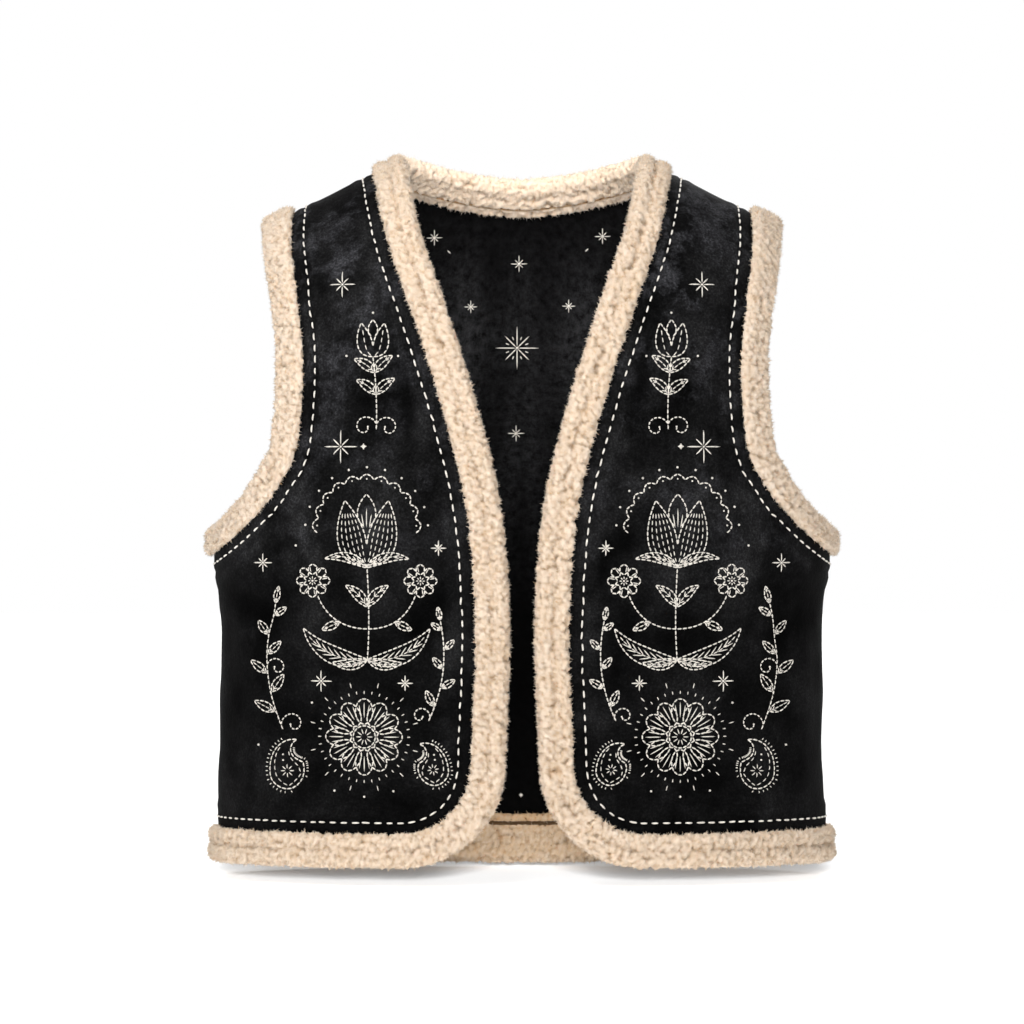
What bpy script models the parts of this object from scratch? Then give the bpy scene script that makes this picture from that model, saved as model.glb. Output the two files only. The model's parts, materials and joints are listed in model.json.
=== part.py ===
"""A suede vest with shearling trim, open down the front, in the filled-out form it has when it is worn.

Run it with blender --background --python part.py, or from Blender's text editor. Metres, +Z up. The front faces
-Y. The origin is midway between the shoulders, level with the neck ends of the shoulder seams.

The panels lie on one torso form. A point of a panel is given by its share of the way round from the middle of the
front or back to the side, and by its drop below the shoulder seam, measured along the cloth. The trim is made from
the same edge points as the panels, moved out.
"""

import bpy
import numpy as np
from mathutils import Vector
from mathutils.geometry import delaunay_2d_cdt

SUEDE_THICKNESS = 0.002
LINING_THICKNESS = 0.001
SEAM_GAP = 0.0003
SLOT_GAP = 0.0004

# One row for each level of the torso form.
# height, half width, depth of the front, depth of the back
SECTIONS = np.array([
    (0.040, 0.178, 0.094, 0.088),
    (-0.030, 0.184, 0.104, 0.098),
    (-0.090, 0.190, 0.111, 0.106),
    (-0.160, 0.200, 0.118, 0.110),
    (-0.225, 0.2120, 0.121, 0.110),
    (-0.262, 0.2145, 0.121, 0.108),
    (-0.300, 0.2112, 0.120, 0.107),
    (-0.345, 0.2092, 0.119, 0.108),
    (-0.390, 0.2088, 0.119, 0.110),
    (-0.440, 0.2108, 0.121, 0.114),
    (-0.490, 0.2140, 0.123, 0.117),
])
SECTION_POWER = 2.2
SECTION_ASPECT = 0.55
NOMINAL_HALF_WIDTH = 0.200

# The shoulder line is a hyperbola: level over the neck and sloping evenly towards the arm.
SHOULDER_PEAK = 0.065
SHOULDER_SLOPE = 0.53
SHOULDER_BEND = 0.060

# The cloth rolls over the shoulder in a quarter of an ellipse, deep at the neck and short at the arm.
ROLL_AT_NECK = 0.150
ROLL_AT_TIP = 0.055
ROLL_NOMINAL = (0.120, 0.090)

NECK_HALF_WIDTH = 0.087
BACK_NECK_HEIGHT = -0.0050
BACK_NECK_POWER = 1.75
SHOULDER_TIP = 0.1745

# The front edge's distance from the middle.
# height, distance
FRONT_EDGE = np.array([
    (0.009, 0.0870),
    (-0.040, 0.0765),
    (-0.090, 0.0595),
    (-0.157, 0.0380),
    (-0.226, 0.0213),
    (-0.300, 0.0150),
    (-0.403, 0.0175),
])
CORNER_RADIUS = 0.066
HEM_HEIGHT = -0.4705
BACK_HEM_DIP = 0.009

# The armhole's edge from the shoulder down to where its bottom curve begins.
# height, distance from the middle
ARMHOLE_EDGE = np.array([
    (-0.036, 0.1745),
    (-0.060, 0.1720),
    (-0.090, 0.1670),
    (-0.125, 0.1635),
    (-0.155, 0.1640),
    (-0.182, 0.1665),
])
UNDERARM_HEIGHT = -0.2500
UNDERARM_POWER = 2.5
UNDERARM_SQUEEZE = 0.78

# Soft vertical folds: share of the way round, height where each begins, rise, share that it spans.
FRONT_FOLDS = (
    (0.48, -0.20, 0.0035, 0.10),
    (0.74, -0.27, -0.0030, 0.09),
)
BACK_FOLDS = (
    (0.28, -0.24, 0.0030, 0.10),
    (0.62, -0.26, -0.0030, 0.12),
)
FOLD_RUN = 0.16

# Distances in from the cloth's edge where the trim's leaves end.
LEAF = 0.0158
NECK_FACING = 0.0200
HEM_FACING = 0.0270
RINGS = (0.0, LEAF, HEM_FACING)

# Spacing of the mesh along trimmed edges and inside the panels.
EDGE_STEP = 0.021
CORE_STEP = 0.026
CORE_CLEARANCE = 0.6 * CORE_STEP

# The outer half of the trim's cross-section: distance in from the cloth's edge, height off the cloth.
TRIM_CREST = (
    (0.0180, 0.0040),
    (0.0150, 0.0070),
    (0.0085, 0.0066),
    (0.0020, 0.0076),
    (-0.0045, 0.0060),
    (-0.0075, 0.0),
)

FRONT = -1.0
BACK = 1.0
DEPTH_COLUMN = {FRONT: 2, BACK: 3}
FOLDS = {FRONT: FRONT_FOLDS, BACK: BACK_FOLDS}


def smooth(knots, values, at):
    """Cubic curve through values at falling or rising knots, with slopes taken from each knot's neighbours."""
    order = np.argsort(knots)
    knots = np.asarray(knots)[order]
    values = np.asarray(values)[order]
    slopes = np.gradient(values, knots)
    cell = np.clip(np.searchsorted(knots, at) - 1, 0, len(knots) - 2)
    width = knots[cell + 1] - knots[cell]
    t = (at - knots[cell]) / width
    start = (1 + 2 * t) * (1 - t) ** 2 * values[cell] + t * (1 - t) ** 2 * width * slopes[cell]
    end = t * t * (3 - 2 * t) * values[cell + 1] + t * t * (t - 1) * width * slopes[cell + 1]
    return start + end


def section(column, z):
    """One measure of the torso form at height z."""
    return smooth(SECTIONS[:, 0], SECTIONS[:, column], np.clip(z, SECTIONS[-1, 0], SECTIONS[0, 0]))


def quarter_oval(power, aspect):
    """A quarter of a superellipse as tables: length along it, and its two factors, rising and falling."""
    angle = np.linspace(0, np.pi / 2, 3001)
    rising = np.sin(angle) ** (2 / power)
    falling = np.cos(angle) ** (2 / power)
    steps = np.hypot(np.diff(rising), aspect * np.diff(falling))
    return np.concatenate([[0], np.cumsum(steps)]), rising, falling


ROUND_LENGTH, ROUND_WIDE, ROUND_DEEP = quarter_oval(SECTION_POWER, SECTION_ASPECT)
ROUND_SHARE = ROUND_LENGTH / ROUND_LENGTH[-1]
ROUND_SPAN = ROUND_LENGTH[-1] * NOMINAL_HALF_WIDTH
ROLL_LENGTH, ROLL_OUT, ROLL_LEFT = quarter_oval(2, ROLL_NOMINAL[0] / ROLL_NOMINAL[1])
ROLL_LENGTH = ROLL_LENGTH * ROLL_NOMINAL[1]


def shoulder_height(x):
    """The shoulder seam's height at a distance from the middle."""
    return SHOULDER_PEAK - SHOULDER_SLOPE * np.sqrt(x * x + SHOULDER_BEND ** 2)


def roll_depth(x):
    """How far below the shoulder seam the cloth has finished rolling over."""
    share = np.clip(np.abs(x) / SHOULDER_TIP, 0, 1) ** 2
    return ROLL_AT_NECK + (ROLL_AT_TIP - ROLL_AT_NECK) * share


def fold_rise(face, share, z):
    """Soft bell-shaped folds that grow from the height where they begin towards the hem."""
    rise = np.zeros(np.broadcast(share, z).shape)
    for centre, top, height, span in FOLDS[face]:
        grown = np.clip((top - z) / FOLD_RUN, 0, 1)
        grown = grown * grown * (3 - 2 * grown)
        rise = rise + height * grown * np.exp(-((share - centre) / (0.5 * span)) ** 2)
    return rise


def torso(face, share, drop):
    """The point of the torso form at a share of the way round and a drop below the shoulder seam."""
    share = np.asarray(share, float)
    drop = np.asarray(drop, float)
    round_share = 1 - np.abs(1 - np.abs(share))
    wide = np.interp(round_share, ROUND_SHARE, ROUND_WIDE) * np.sign(share + 1e-12)
    deep = np.interp(round_share, ROUND_SHARE, ROUND_DEEP) * np.where(np.abs(share) > 1, -1, 1)
    out = np.interp(np.abs(drop), ROLL_LENGTH, ROLL_OUT) * np.sign(drop)
    down = 1 - np.interp(np.abs(drop), ROLL_LENGTH, ROLL_LEFT)
    below = np.maximum(np.abs(drop) - ROLL_LENGTH[-1], 0)
    z = np.full(np.broadcast(share, drop).shape, -0.1)
    for _ in range(8):
        x = section(1, z) * wide
        z = shoulder_height(x) - roll_depth(x) * down - below
    depth = section(DEPTH_COLUMN[face], z) + fold_rise(face, np.abs(share), z)
    return np.stack([x, face * depth * deep * out, z], axis=-1)


def share_and_drop(x, z):
    """The place on the torso form of a point given by its distance from the middle and its height."""
    x = np.asarray(x, float)
    z = np.asarray(z, float)
    share = np.interp(np.abs(x) / section(1, z), ROUND_WIDE, ROUND_SHARE)
    down = shoulder_height(x) - z
    roll = roll_depth(x)
    rolled = np.interp(np.clip(1 - down / roll, 0, 1), ROLL_LEFT[::-1], ROLL_LENGTH[::-1])
    return np.stack([share, rolled + np.maximum(down - roll, 0)], axis=-1)


def slopes_and_normal(face, place):
    """The form's slopes along share and drop, and its outward normal."""
    small = 1e-3
    share, drop = place[:, 0], place[:, 1]
    by_share = (torso(face, share + small, drop) - torso(face, share - small, drop)) / (2 * small)
    by_drop = (torso(face, share, drop + small) - torso(face, share, drop - small)) / (2 * small)
    normal = np.cross(by_share, by_drop) * face
    normal /= np.linalg.norm(normal, axis=1, keepdims=True)
    return by_share, by_drop, normal


def evenly(face, places, step):
    """Points spaced evenly along a line of places on the form."""
    points = torso(face, places[:, 0], places[:, 1])
    along = np.concatenate([[0], np.cumsum(np.linalg.norm(np.diff(points, axis=0), axis=1))])
    count = max(2, int(round(along[-1] / step)) + 1)
    at = np.linspace(0, along[-1], count)
    return np.stack([np.interp(at, along, places[:, 0]), np.interp(at, along, places[:, 1])], axis=-1)


def inset(face, places, distance, inward):
    """Move a line of places a distance into the panel along the form, keeping its ends on their seams."""
    points = torso(face, places[:, 0], places[:, 1])
    along = np.gradient(points, axis=0)
    moved = places.copy()
    steps = 4
    direction = None
    for _ in range(steps if distance.max() > 0 else 0):
        by_share, by_drop, normal = slopes_and_normal(face, moved)
        if direction is None:
            direction = np.cross(normal, along) * inward
        direction = direction - normal * np.sum(direction * normal, axis=1, keepdims=True)
        direction /= np.linalg.norm(direction, axis=1, keepdims=True)
        for i in range(len(moved)):
            slope = np.stack([by_share[i], by_drop[i]], axis=-1)
            move = np.linalg.lstsq(slope, direction[i] * distance[i] / steps, rcond=None)[0]
            moved[i] += move
    for end in (0, -1):
        held = int(np.argmin(np.abs(moved[end] - places[end])))
        moved[end, held] = places[end, held]
    return moved


def seam_share():
    """The side seam's share, half a seam gap short of the side."""
    return 1 - 0.5 * SEAM_GAP / ROUND_SPAN


def front_edge_line():
    """Neck, front edge, lower corner and hem, from the shoulder seam to the side seam."""
    top = shoulder_height(NECK_HALF_WIDTH)
    corner_top = HEM_HEIGHT + CORNER_RADIUS
    z = np.linspace(top, corner_top, 200)
    x = smooth(FRONT_EDGE[:, 0], FRONT_EDGE[:, 1], z)
    turn = np.linspace(0, np.pi / 2, 60)[1:]
    x = np.concatenate([x, x[-1] + CORNER_RADIUS * (1 - np.cos(turn))])
    z = np.concatenate([z, corner_top - CORNER_RADIUS * np.sin(turn)])
    line = share_and_drop(x, z)
    line[0, 1] = 0.5 * SEAM_GAP
    hem = level_line(line[-1, 0], seam_share(), lambda share: HEM_HEIGHT + 0 * share)
    return np.concatenate([line, hem[1:]])


def level_line(start, end, height):
    """A line across the form between two shares at a given height for each share."""
    share = np.linspace(start, end, 120)
    z = height(share)
    x = section(1, z) * np.interp(share, ROUND_SHARE, ROUND_WIDE)
    places = share_and_drop(x, z)
    places[:, 0] = share
    return places


def back_hem_line():
    """The back hem from the middle to the side, dipping in the middle."""
    return level_line(0, seam_share(), lambda share: HEM_HEIGHT - BACK_HEM_DIP * 0.5 * (1 + np.cos(np.pi * share)))


def back_neck_line():
    """A quarter of a flattened oval on the cloth from the shoulder seam to the middle of the back."""
    side = share_and_drop(NECK_HALF_WIDTH, shoulder_height(NECK_HALF_WIDTH))
    middle = share_and_drop(0.0, BACK_NECK_HEIGHT)
    turn = np.linspace(0, np.pi / 2, 200)
    bend = 2 / BACK_NECK_POWER
    line = np.stack([side[0] * np.cos(turn) ** bend, middle[1] * np.sin(turn) ** bend], axis=-1)
    line[0, 1] = 0.5 * SEAM_GAP
    line[-1, 0] = 0
    return line


def armhole_line():
    """The armhole from the side seam up to the shoulder seam: a quarter of a square oval, then the edge's table."""
    curve_top = ARMHOLE_EDGE[-1, 0]
    z = np.linspace(shoulder_height(SHOULDER_TIP), curve_top, 120)
    upper = share_and_drop(smooth(ARMHOLE_EDGE[:, 0], ARMHOLE_EDGE[:, 1], z), z)
    upper[0, 1] = 0.5 * SEAM_GAP
    side = section(1, UNDERARM_HEIGHT)
    below = share_and_drop(side, UNDERARM_HEIGHT)[1] - upper[-1, 1]
    turn = np.linspace(0, np.pi / 2, 200)[1:]
    bend = 2 / UNDERARM_POWER
    share = upper[-1, 0] + (seam_share() - upper[-1, 0]) * (1 - np.cos(turn) ** bend)
    lower = np.stack([share, upper[-1, 1] + below * np.sin(turn) ** bend], axis=-1)
    return np.concatenate([upper, lower])[::-1]


def underarm_squeeze(points):
    """The trim's leaves are pinched narrower where the armhole turns under the arm."""
    share = np.clip((points[:, 2] - UNDERARM_HEIGHT) / (ARMHOLE_EDGE[-1, 0] - UNDERARM_HEIGHT), 0, 1)
    return UNDERARM_SQUEEZE + (1 - UNDERARM_SQUEEZE) * share


class Edge:
    """A trimmed edge of a panel: its places at each ring, with their points and normals."""

    def __init__(self, face, line, inward, squeeze=None):
        base = evenly(face, line, EDGE_STEP)
        scale = np.ones(len(base)) if squeeze is None else squeeze(torso(face, base[:, 0], base[:, 1]))
        self.rings = [inset(face, base, distance * scale, inward) for distance in RINGS]
        self.points = np.stack([torso(face, ring[:, 0], ring[:, 1]) for ring in self.rings])
        self.normals = np.stack([slopes_and_normal(face, ring)[2] for ring in self.rings])


def seam_points(start, end):
    """Places between two places on a seam, without its ends."""
    count = max(1, int(round(abs(end - start).max() / CORE_STEP)))
    return start + (end - start) * np.linspace(0, 1, count + 1)[1:-1, None]


class Panel:
    """A panel's open mid-surface: bands of triangles along trimmed edges, and a triangulated core.

    Each trimmed edge is followed by the place where the seam after it ends.
    """

    def __init__(self, face, edges, seam_ends):
        self.places = []
        self.faces = []
        loop = []
        for edge, seam_end in zip(edges, seam_ends):
            loop += self.add_bands(edge)
            loop += self.add_places(seam_points(edge.rings[-1][-1], seam_end))
        self.fill_core(loop)
        places = np.array(self.places)
        self.points = torso(face, places[:, 0], places[:, 1])
        self.normals = slopes_and_normal(face, places)[2]

    def add_places(self, places):
        """Add places to the panel and return their numbers."""
        start = len(self.places)
        self.places += [tuple(place) for place in places]
        return list(range(start, len(self.places)))

    def add_bands(self, edge):
        """Add an edge's rings and the bands between them, and return the innermost ring's numbers."""
        rows = [self.add_places(ring) for ring in edge.rings]
        for outer, inner in zip(rows[:-1], rows[1:]):
            for i in range(len(outer) - 1):
                self.faces.append((outer[i], outer[i + 1], inner[i + 1]))
                self.faces.append((outer[i], inner[i + 1], inner[i]))
        return rows[-1]

    def fill_core(self, loop):
        """Triangulate inside the loop, with a lattice of points kept clear of it."""
        scale = np.array([ROUND_SPAN, 1.0])
        rim = np.array([self.places[i] for i in loop]) * scale
        low, high = rim.min(axis=0), rim.max(axis=0)
        inner = []
        row_height = CORE_STEP * np.sqrt(3) / 2
        for row in range(int((high[1] - low[1]) / row_height) + 1):
            for column in range(int((high[0] - low[0]) / CORE_STEP) + 2):
                spot = low + (CORE_STEP * (column + 0.5 * (row % 2)), row_height * (row + 0.5))
                if inside(rim, spot) and np.linalg.norm(rim - spot, axis=1).min() > CORE_CLEARANCE:
                    inner.append(spot)
        start = len(self.places)
        self.places += [tuple(spot / scale) for spot in inner]
        spots = [Vector(spot) for spot in rim] + [Vector(spot) for spot in inner]
        border = [(i, (i + 1) % len(loop)) for i in range(len(loop))]
        names = loop + list(range(start, start + len(inner)))
        _, _, triangles, sources, _, _ = delaunay_2d_cdt(spots, border, [], 1, 1e-7)
        for triangle in triangles:
            self.faces.append(tuple(names[sources[corner][0]] for corner in triangle))


def inside(rim, spot):
    """Whether a spot is inside a closed outline, by counting crossings."""
    following = np.roll(rim, -1, axis=0)
    crosses = (rim[:, 1] > spot[1]) != (following[:, 1] > spot[1])
    with np.errstate(divide="ignore", invalid="ignore"):
        at = rim[:, 0] + (spot[1] - rim[:, 1]) * (following[:, 0] - rim[:, 0]) / (following[:, 1] - rim[:, 1])
    return bool(np.sum(crosses & (at > spot[0])) % 2)


def new_material(name, color, roughness):
    material = bpy.data.materials.new(name)
    material.use_nodes = True
    surface = material.node_tree.nodes["Principled BSDF"]
    surface.inputs["Base Color"].default_value = (*color, 1)
    surface.inputs["Roughness"].default_value = roughness
    return material


def new_object(name, points, faces, material, collection):
    """A smooth mesh object of one material, in the collection."""
    mesh = bpy.data.meshes.new(name)
    mesh.from_pydata([tuple(point) for point in points], [], faces)
    mesh.materials.append(material)
    mesh.shade_smooth()
    thing = bpy.data.objects.new(name, mesh)
    collection.objects.link(thing)
    return thing


def facing(points, normals, faces):
    """Faces turned so that each looks along the normals of its corners."""
    turned = []
    for face in faces:
        a, b, c = (points[i] for i in face[:3])
        looks = np.dot(np.cross(b - a, c - a), sum(normals[i] for i in face[:3]))
        turned.append(face if looks > 0 else face[::-1])
    return turned


def open_rim(faces):
    """The edges that only one face uses, each in that face's direction."""
    used = {}
    for face in faces:
        for start, end in zip(face, face[1:] + face[:1]):
            key = (min(start, end), max(start, end))
            used.setdefault(key, []).append((start, end))
    return [edges[0] for edges in used.values() if len(edges) == 1]


def add_panel(name, panel, material, collection, side=1.0, behind=0.0, thickness=SUEDE_THICKNESS, mirrored=False):
    """A panel's outer and inner skins, joined along its rim, or half of one, open at the middle, with Mirror."""
    flip = np.array([side, 1, 1])
    normals = panel.normals * flip
    middle = panel.points * flip - normals * behind
    if mirrored:
        middle[np.abs(middle[:, 0]) < 1e-5, 0] = 0
        normals[middle[:, 0] == 0, 0] = 0
    count = len(middle)
    points = np.concatenate([middle + normals * 0.5 * thickness, middle - normals * 0.5 * thickness])
    outer = facing(middle, normals, panel.faces)
    inner = [tuple(i + count for i in face[::-1]) for face in outer]
    rim = [(end, start, start + count, end + count) for start, end in open_rim(outer)
           if not (mirrored and middle[start, 0] == 0 and middle[end, 0] == 0)]
    thing = new_object(name, points, outer + inner + rim, material, collection)
    if mirrored:
        mirror = thing.modifiers.new("Mirror", "MIRROR")
        mirror.merge_threshold = 0.00005
    return thing


def trim_profile(facing_length, inner_gap):
    """The trim's cross-section as a closed line: distance in from the cloth's edge, and height off the cloth."""
    outer_gap = 0.5 * SUEDE_THICKNESS + SLOT_GAP
    stretch = facing_length - LEAF
    crest = list(TRIM_CREST)
    inner = [(depth + (stretch if depth > 0.5 * LEAF else 0), -height) for depth, height in crest[-2::-1]]
    slot = [
        (facing_length, -inner_gap),
        (LEAF, -inner_gap) if stretch > 0 else None,
        (-SLOT_GAP, -inner_gap),
        (-SLOT_GAP, outer_gap),
        (LEAF, outer_gap),
    ]
    return crest + inner + [spot for spot in slot if spot is not None]


def place_in_section(points, normals, depth, height):
    """A point at a depth in from the cloth's edge and a height off it, at one place along the edge."""
    cell = 0 if depth <= RINGS[1] else 1
    share = (depth - RINGS[cell]) / (RINGS[cell + 1] - RINGS[cell])
    base = points[cell] + (points[cell + 1] - points[cell]) * share
    part = min(max(share, 0), 1)
    normal = normals[cell] * (1 - part) + normals[cell + 1] * part
    return base + normal / np.linalg.norm(normal) * height


def add_trim(name, points, normals, rising, profiles, material, collection, side=1.0, closed=False):
    """A strip folded over the cloth's edge: the cross-section carried along the edge points.

    In the slot each quad is split along the same diagonal as the panel beside it. The diagonal is rising where it
    joins an edge point to the next section's inner point.
    """
    count = points.shape[1]
    size = len(profiles[0])
    outer_slot = size - 2
    inner_slot = range(2 * len(TRIM_CREST) - 1, size - 3)
    flip = np.array([side, 1, 1])
    spots = []
    for i in range(count):
        spots += [place_in_section(points[:, i], normals[:, i], *spot) * flip for spot in profiles[i]]
    faces = []
    for i in range(count if closed else count - 1):
        here, there = i * size, (i + 1) % count * size
        for k in range(size):
            after = (k + 1) % size
            falls = (k == outer_slot and not rising[i]) or (k in inner_slot and rising[i])
            if falls:
                faces.append((here + k, here + after, there + k))
                faces.append((here + after, there + after, there + k))
            else:
                faces.append((here + k, here + after, there + after))
                faces.append((here + k, there + after, there + k))
    if not closed:
        faces.append(tuple(range(size))[::-1])
        faces.append(tuple(range((count - 1) * size, count * size)))
    if signed_volume(spots, faces) < 0:
        faces = [face[::-1] for face in faces]
    return new_object(name, spots, faces, material, collection)


def signed_volume(points, faces):
    """Positive if the faces look out."""
    total = 0.0
    for face in faces:
        for b, c in zip(face[1:-1], face[2:]):
            total += np.dot(points[face[0]], np.cross(points[b], points[c]))
    return total / 6


def both_sides(points, normals, rising):
    """A half edge from the middle out, joined with its mirror image."""
    flip = np.array([-1, 1, 1])
    points = np.concatenate([points[:, :0:-1] * flip, points], axis=1)
    normals = np.concatenate([normals[:, :0:-1] * flip, normals], axis=1)
    half = points.shape[1] // 2
    return points, normals, [not rising] * half + [rising] * half


def armhole_ring(front, back):
    """The armhole's whole ring, up the front and down the back, with one section at each seam."""
    points = np.concatenate([front.points, back.points[:, -2:0:-1]], axis=1)
    normals = np.concatenate([front.normals, back.normals[:, -2:0:-1]], axis=1)
    for seam in (0, front.points.shape[1] - 1):
        other = 0 if seam == 0 else -1
        points[:, seam] = 0.5 * (front.points[:, seam] + back.points[:, other])
        normals[:, seam] = 0.5 * (front.normals[:, seam] + back.normals[:, other])
    turn = front.points.shape[1] - 1
    return points, normals, [True] * turn + [False] * (points.shape[1] - turn)


def build():
    """Clear the scene and build the vest."""
    for thing in list(bpy.data.objects):
        bpy.data.objects.remove(thing)
    collection = bpy.data.collections.new("shearling_vest")
    bpy.context.scene.collection.children.link(collection)

    suede = new_material("suede", (0.012, 0.012, 0.013), 0.9)
    lining = new_material("lining", (0.016, 0.016, 0.018), 0.7)
    shearling = new_material("shearling", (0.72, 0.62, 0.48), 0.95)

    front_edge = Edge(FRONT, front_edge_line(), 1)
    front_armhole = Edge(FRONT, armhole_line(), 1, underarm_squeeze)
    back_hem = Edge(BACK, back_hem_line(), -1)
    back_armhole = Edge(BACK, armhole_line(), -1, underarm_squeeze)
    back_neck = Edge(BACK, back_neck_line(), -1)

    front = Panel(FRONT, [front_edge, front_armhole],
                  [front_armhole.rings[-1][0], front_edge.rings[-1][0]])
    back = Panel(BACK, [back_hem, back_armhole, back_neck],
                 [back_armhole.rings[-1][0], back_neck.rings[-1][0], back_hem.rings[-1][0]])

    for name, side in (("left", 1.0), ("right", -1.0)):
        add_panel("front_" + name, front, suede, collection, side)
    add_panel("back", back, suede, collection, mirrored=True)
    behind = 0.5 * SUEDE_THICKNESS + SEAM_GAP + 0.5 * LINING_THICKNESS
    add_panel("back_lining", back, lining, collection, behind=behind, thickness=LINING_THICKNESS, mirrored=True)

    single = 0.5 * SUEDE_THICKNESS + SLOT_GAP
    lined = 0.5 * SUEDE_THICKNESS + SEAM_GAP + LINING_THICKNESS + SLOT_GAP

    count = front_edge.points.shape[1]
    front_profile = [trim_profile(LEAF, single)] * count
    for name, side in (("left", 1.0), ("right", -1.0)):
        add_trim("trim_front_" + name, front_edge.points, front_edge.normals, [True] * count, front_profile,
                 shearling, collection, side)

    ring = armhole_ring(front_armhole, back_armhole)
    turn = front_armhole.points.shape[1] - 1
    ring_gaps = [lined] + [single] * (turn - 1) + [lined] * (len(ring[2]) - turn)
    ring_profiles = [trim_profile(LEAF, gap) for gap in ring_gaps]
    for name, side in (("left", 1.0), ("right", -1.0)):
        add_trim("trim_armhole_" + name, *ring, ring_profiles, shearling, collection, side, closed=True)

    hem = both_sides(back_hem.points, back_hem.normals, True)
    hem_profile = [trim_profile(HEM_FACING, lined)] * hem[0].shape[1]
    add_trim("trim_back_hem", *hem, hem_profile, shearling, collection)

    neck = both_sides(back_neck.points[:, ::-1], back_neck.normals[:, ::-1], False)
    neck_profile = [trim_profile(NECK_FACING, lined)] * neck[0].shape[1]
    add_trim("trim_back_neck", *neck, neck_profile, shearling, collection)


build()
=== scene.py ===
"""The suede vest with its looks: cloth shells on the solids' form, curled shearling and stitches.

Metres, +Z up. The front faces -Y, and the wearer's left is +X. A place on the cloth is its share of the way
round from the middle of the front or back to the side, and its drop below the shoulder seam, as in the part's
source.
"""

import json
from math import pi, radians, tau
from typing import NamedTuple

import bpy
import numpy as np
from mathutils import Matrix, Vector
from mathutils.bvhtree import BVHTree

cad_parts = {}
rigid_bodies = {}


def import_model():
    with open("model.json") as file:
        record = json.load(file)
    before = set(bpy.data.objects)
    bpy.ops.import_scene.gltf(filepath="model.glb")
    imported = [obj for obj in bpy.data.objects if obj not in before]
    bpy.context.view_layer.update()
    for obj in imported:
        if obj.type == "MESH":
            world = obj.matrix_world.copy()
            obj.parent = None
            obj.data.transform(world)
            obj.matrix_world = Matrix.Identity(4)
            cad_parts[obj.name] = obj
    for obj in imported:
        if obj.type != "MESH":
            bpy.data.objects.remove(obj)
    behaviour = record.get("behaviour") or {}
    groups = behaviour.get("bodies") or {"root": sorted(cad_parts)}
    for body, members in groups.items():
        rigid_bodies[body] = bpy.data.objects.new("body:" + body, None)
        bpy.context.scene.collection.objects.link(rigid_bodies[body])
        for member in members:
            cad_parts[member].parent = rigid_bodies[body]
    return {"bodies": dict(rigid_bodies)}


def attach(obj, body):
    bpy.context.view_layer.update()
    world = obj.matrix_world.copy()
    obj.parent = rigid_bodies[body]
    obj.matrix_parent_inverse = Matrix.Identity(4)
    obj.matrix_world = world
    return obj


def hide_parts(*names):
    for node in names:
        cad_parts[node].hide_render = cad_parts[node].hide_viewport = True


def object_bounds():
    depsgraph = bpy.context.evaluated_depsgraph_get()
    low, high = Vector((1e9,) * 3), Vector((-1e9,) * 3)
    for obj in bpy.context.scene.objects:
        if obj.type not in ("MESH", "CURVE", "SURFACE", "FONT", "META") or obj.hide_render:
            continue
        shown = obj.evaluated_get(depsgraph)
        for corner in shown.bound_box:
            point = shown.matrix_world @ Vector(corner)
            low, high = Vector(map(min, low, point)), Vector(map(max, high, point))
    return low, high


bl_info = {
    "name": "Shearling Vest",
    "version": (1, 0, 0),
    "blender": (4, 5, 0),
    "location": "View3D > Sidebar > Vest",
    "description": "Adds a suede vest with shearling trim, topstitching and embroidery",
    "category": "Add Mesh",
}

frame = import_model()
SOLID_BOX = [list(corner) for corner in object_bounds()]

SUEDE_THICKNESS = 0.002
LINING_THICKNESS = 0.001
SEAM_GAP = 0.0003
SLOT_GAP = 0.0004

# One row for each level of the torso form.
# height, half width, depth of the front, depth of the back
SECTIONS = np.array([
    (0.040, 0.178, 0.094, 0.088),
    (-0.030, 0.184, 0.104, 0.098),
    (-0.090, 0.190, 0.111, 0.106),
    (-0.160, 0.200, 0.118, 0.110),
    (-0.225, 0.2120, 0.121, 0.110),
    (-0.262, 0.2145, 0.121, 0.108),
    (-0.300, 0.2112, 0.120, 0.107),
    (-0.345, 0.2092, 0.119, 0.108),
    (-0.390, 0.2088, 0.119, 0.110),
    (-0.440, 0.2108, 0.121, 0.114),
    (-0.490, 0.2140, 0.123, 0.117),
])
SECTION_POWER = 2.2
SECTION_ASPECT = 0.55
NOMINAL_HALF_WIDTH = 0.200
SHOULDER_PEAK = 0.065
SHOULDER_SLOPE = 0.53
SHOULDER_BEND = 0.060
ROLL_AT_NECK = 0.150
ROLL_AT_TIP = 0.055
ROLL_NOMINAL = (0.120, 0.090)
NECK_HALF_WIDTH = 0.087
BACK_NECK_HEIGHT = -0.0050
BACK_NECK_POWER = 1.75
SHOULDER_TIP = 0.1745

# height, distance of the front edge from the middle
FRONT_EDGE = np.array([
    (0.009, 0.0870),
    (-0.040, 0.0765),
    (-0.090, 0.0595),
    (-0.157, 0.0380),
    (-0.226, 0.0213),
    (-0.300, 0.0150),
    (-0.403, 0.0175),
])
CORNER_RADIUS = 0.066
HEM_HEIGHT = -0.4705
BACK_HEM_DIP = 0.009

# height, distance of the armhole's edge from the middle
ARMHOLE_EDGE = np.array([
    (-0.036, 0.1745),
    (-0.060, 0.1720),
    (-0.090, 0.1670),
    (-0.125, 0.1635),
    (-0.155, 0.1640),
    (-0.182, 0.1665),
])
UNDERARM_HEIGHT = -0.2500
UNDERARM_POWER = 2.5
UNDERARM_SQUEEZE = 0.78

# share of the way round, height where the fold begins, rise, share that it spans
FRONT_FOLDS = (
    (0.48, -0.20, 0.0035, 0.10),
    (0.74, -0.27, -0.0030, 0.09),
)
BACK_FOLDS = (
    (0.28, -0.24, 0.0030, 0.10),
    (0.62, -0.26, -0.0030, 0.12),
)
FOLD_RUN = 0.16

TINY = 1e-12

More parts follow.
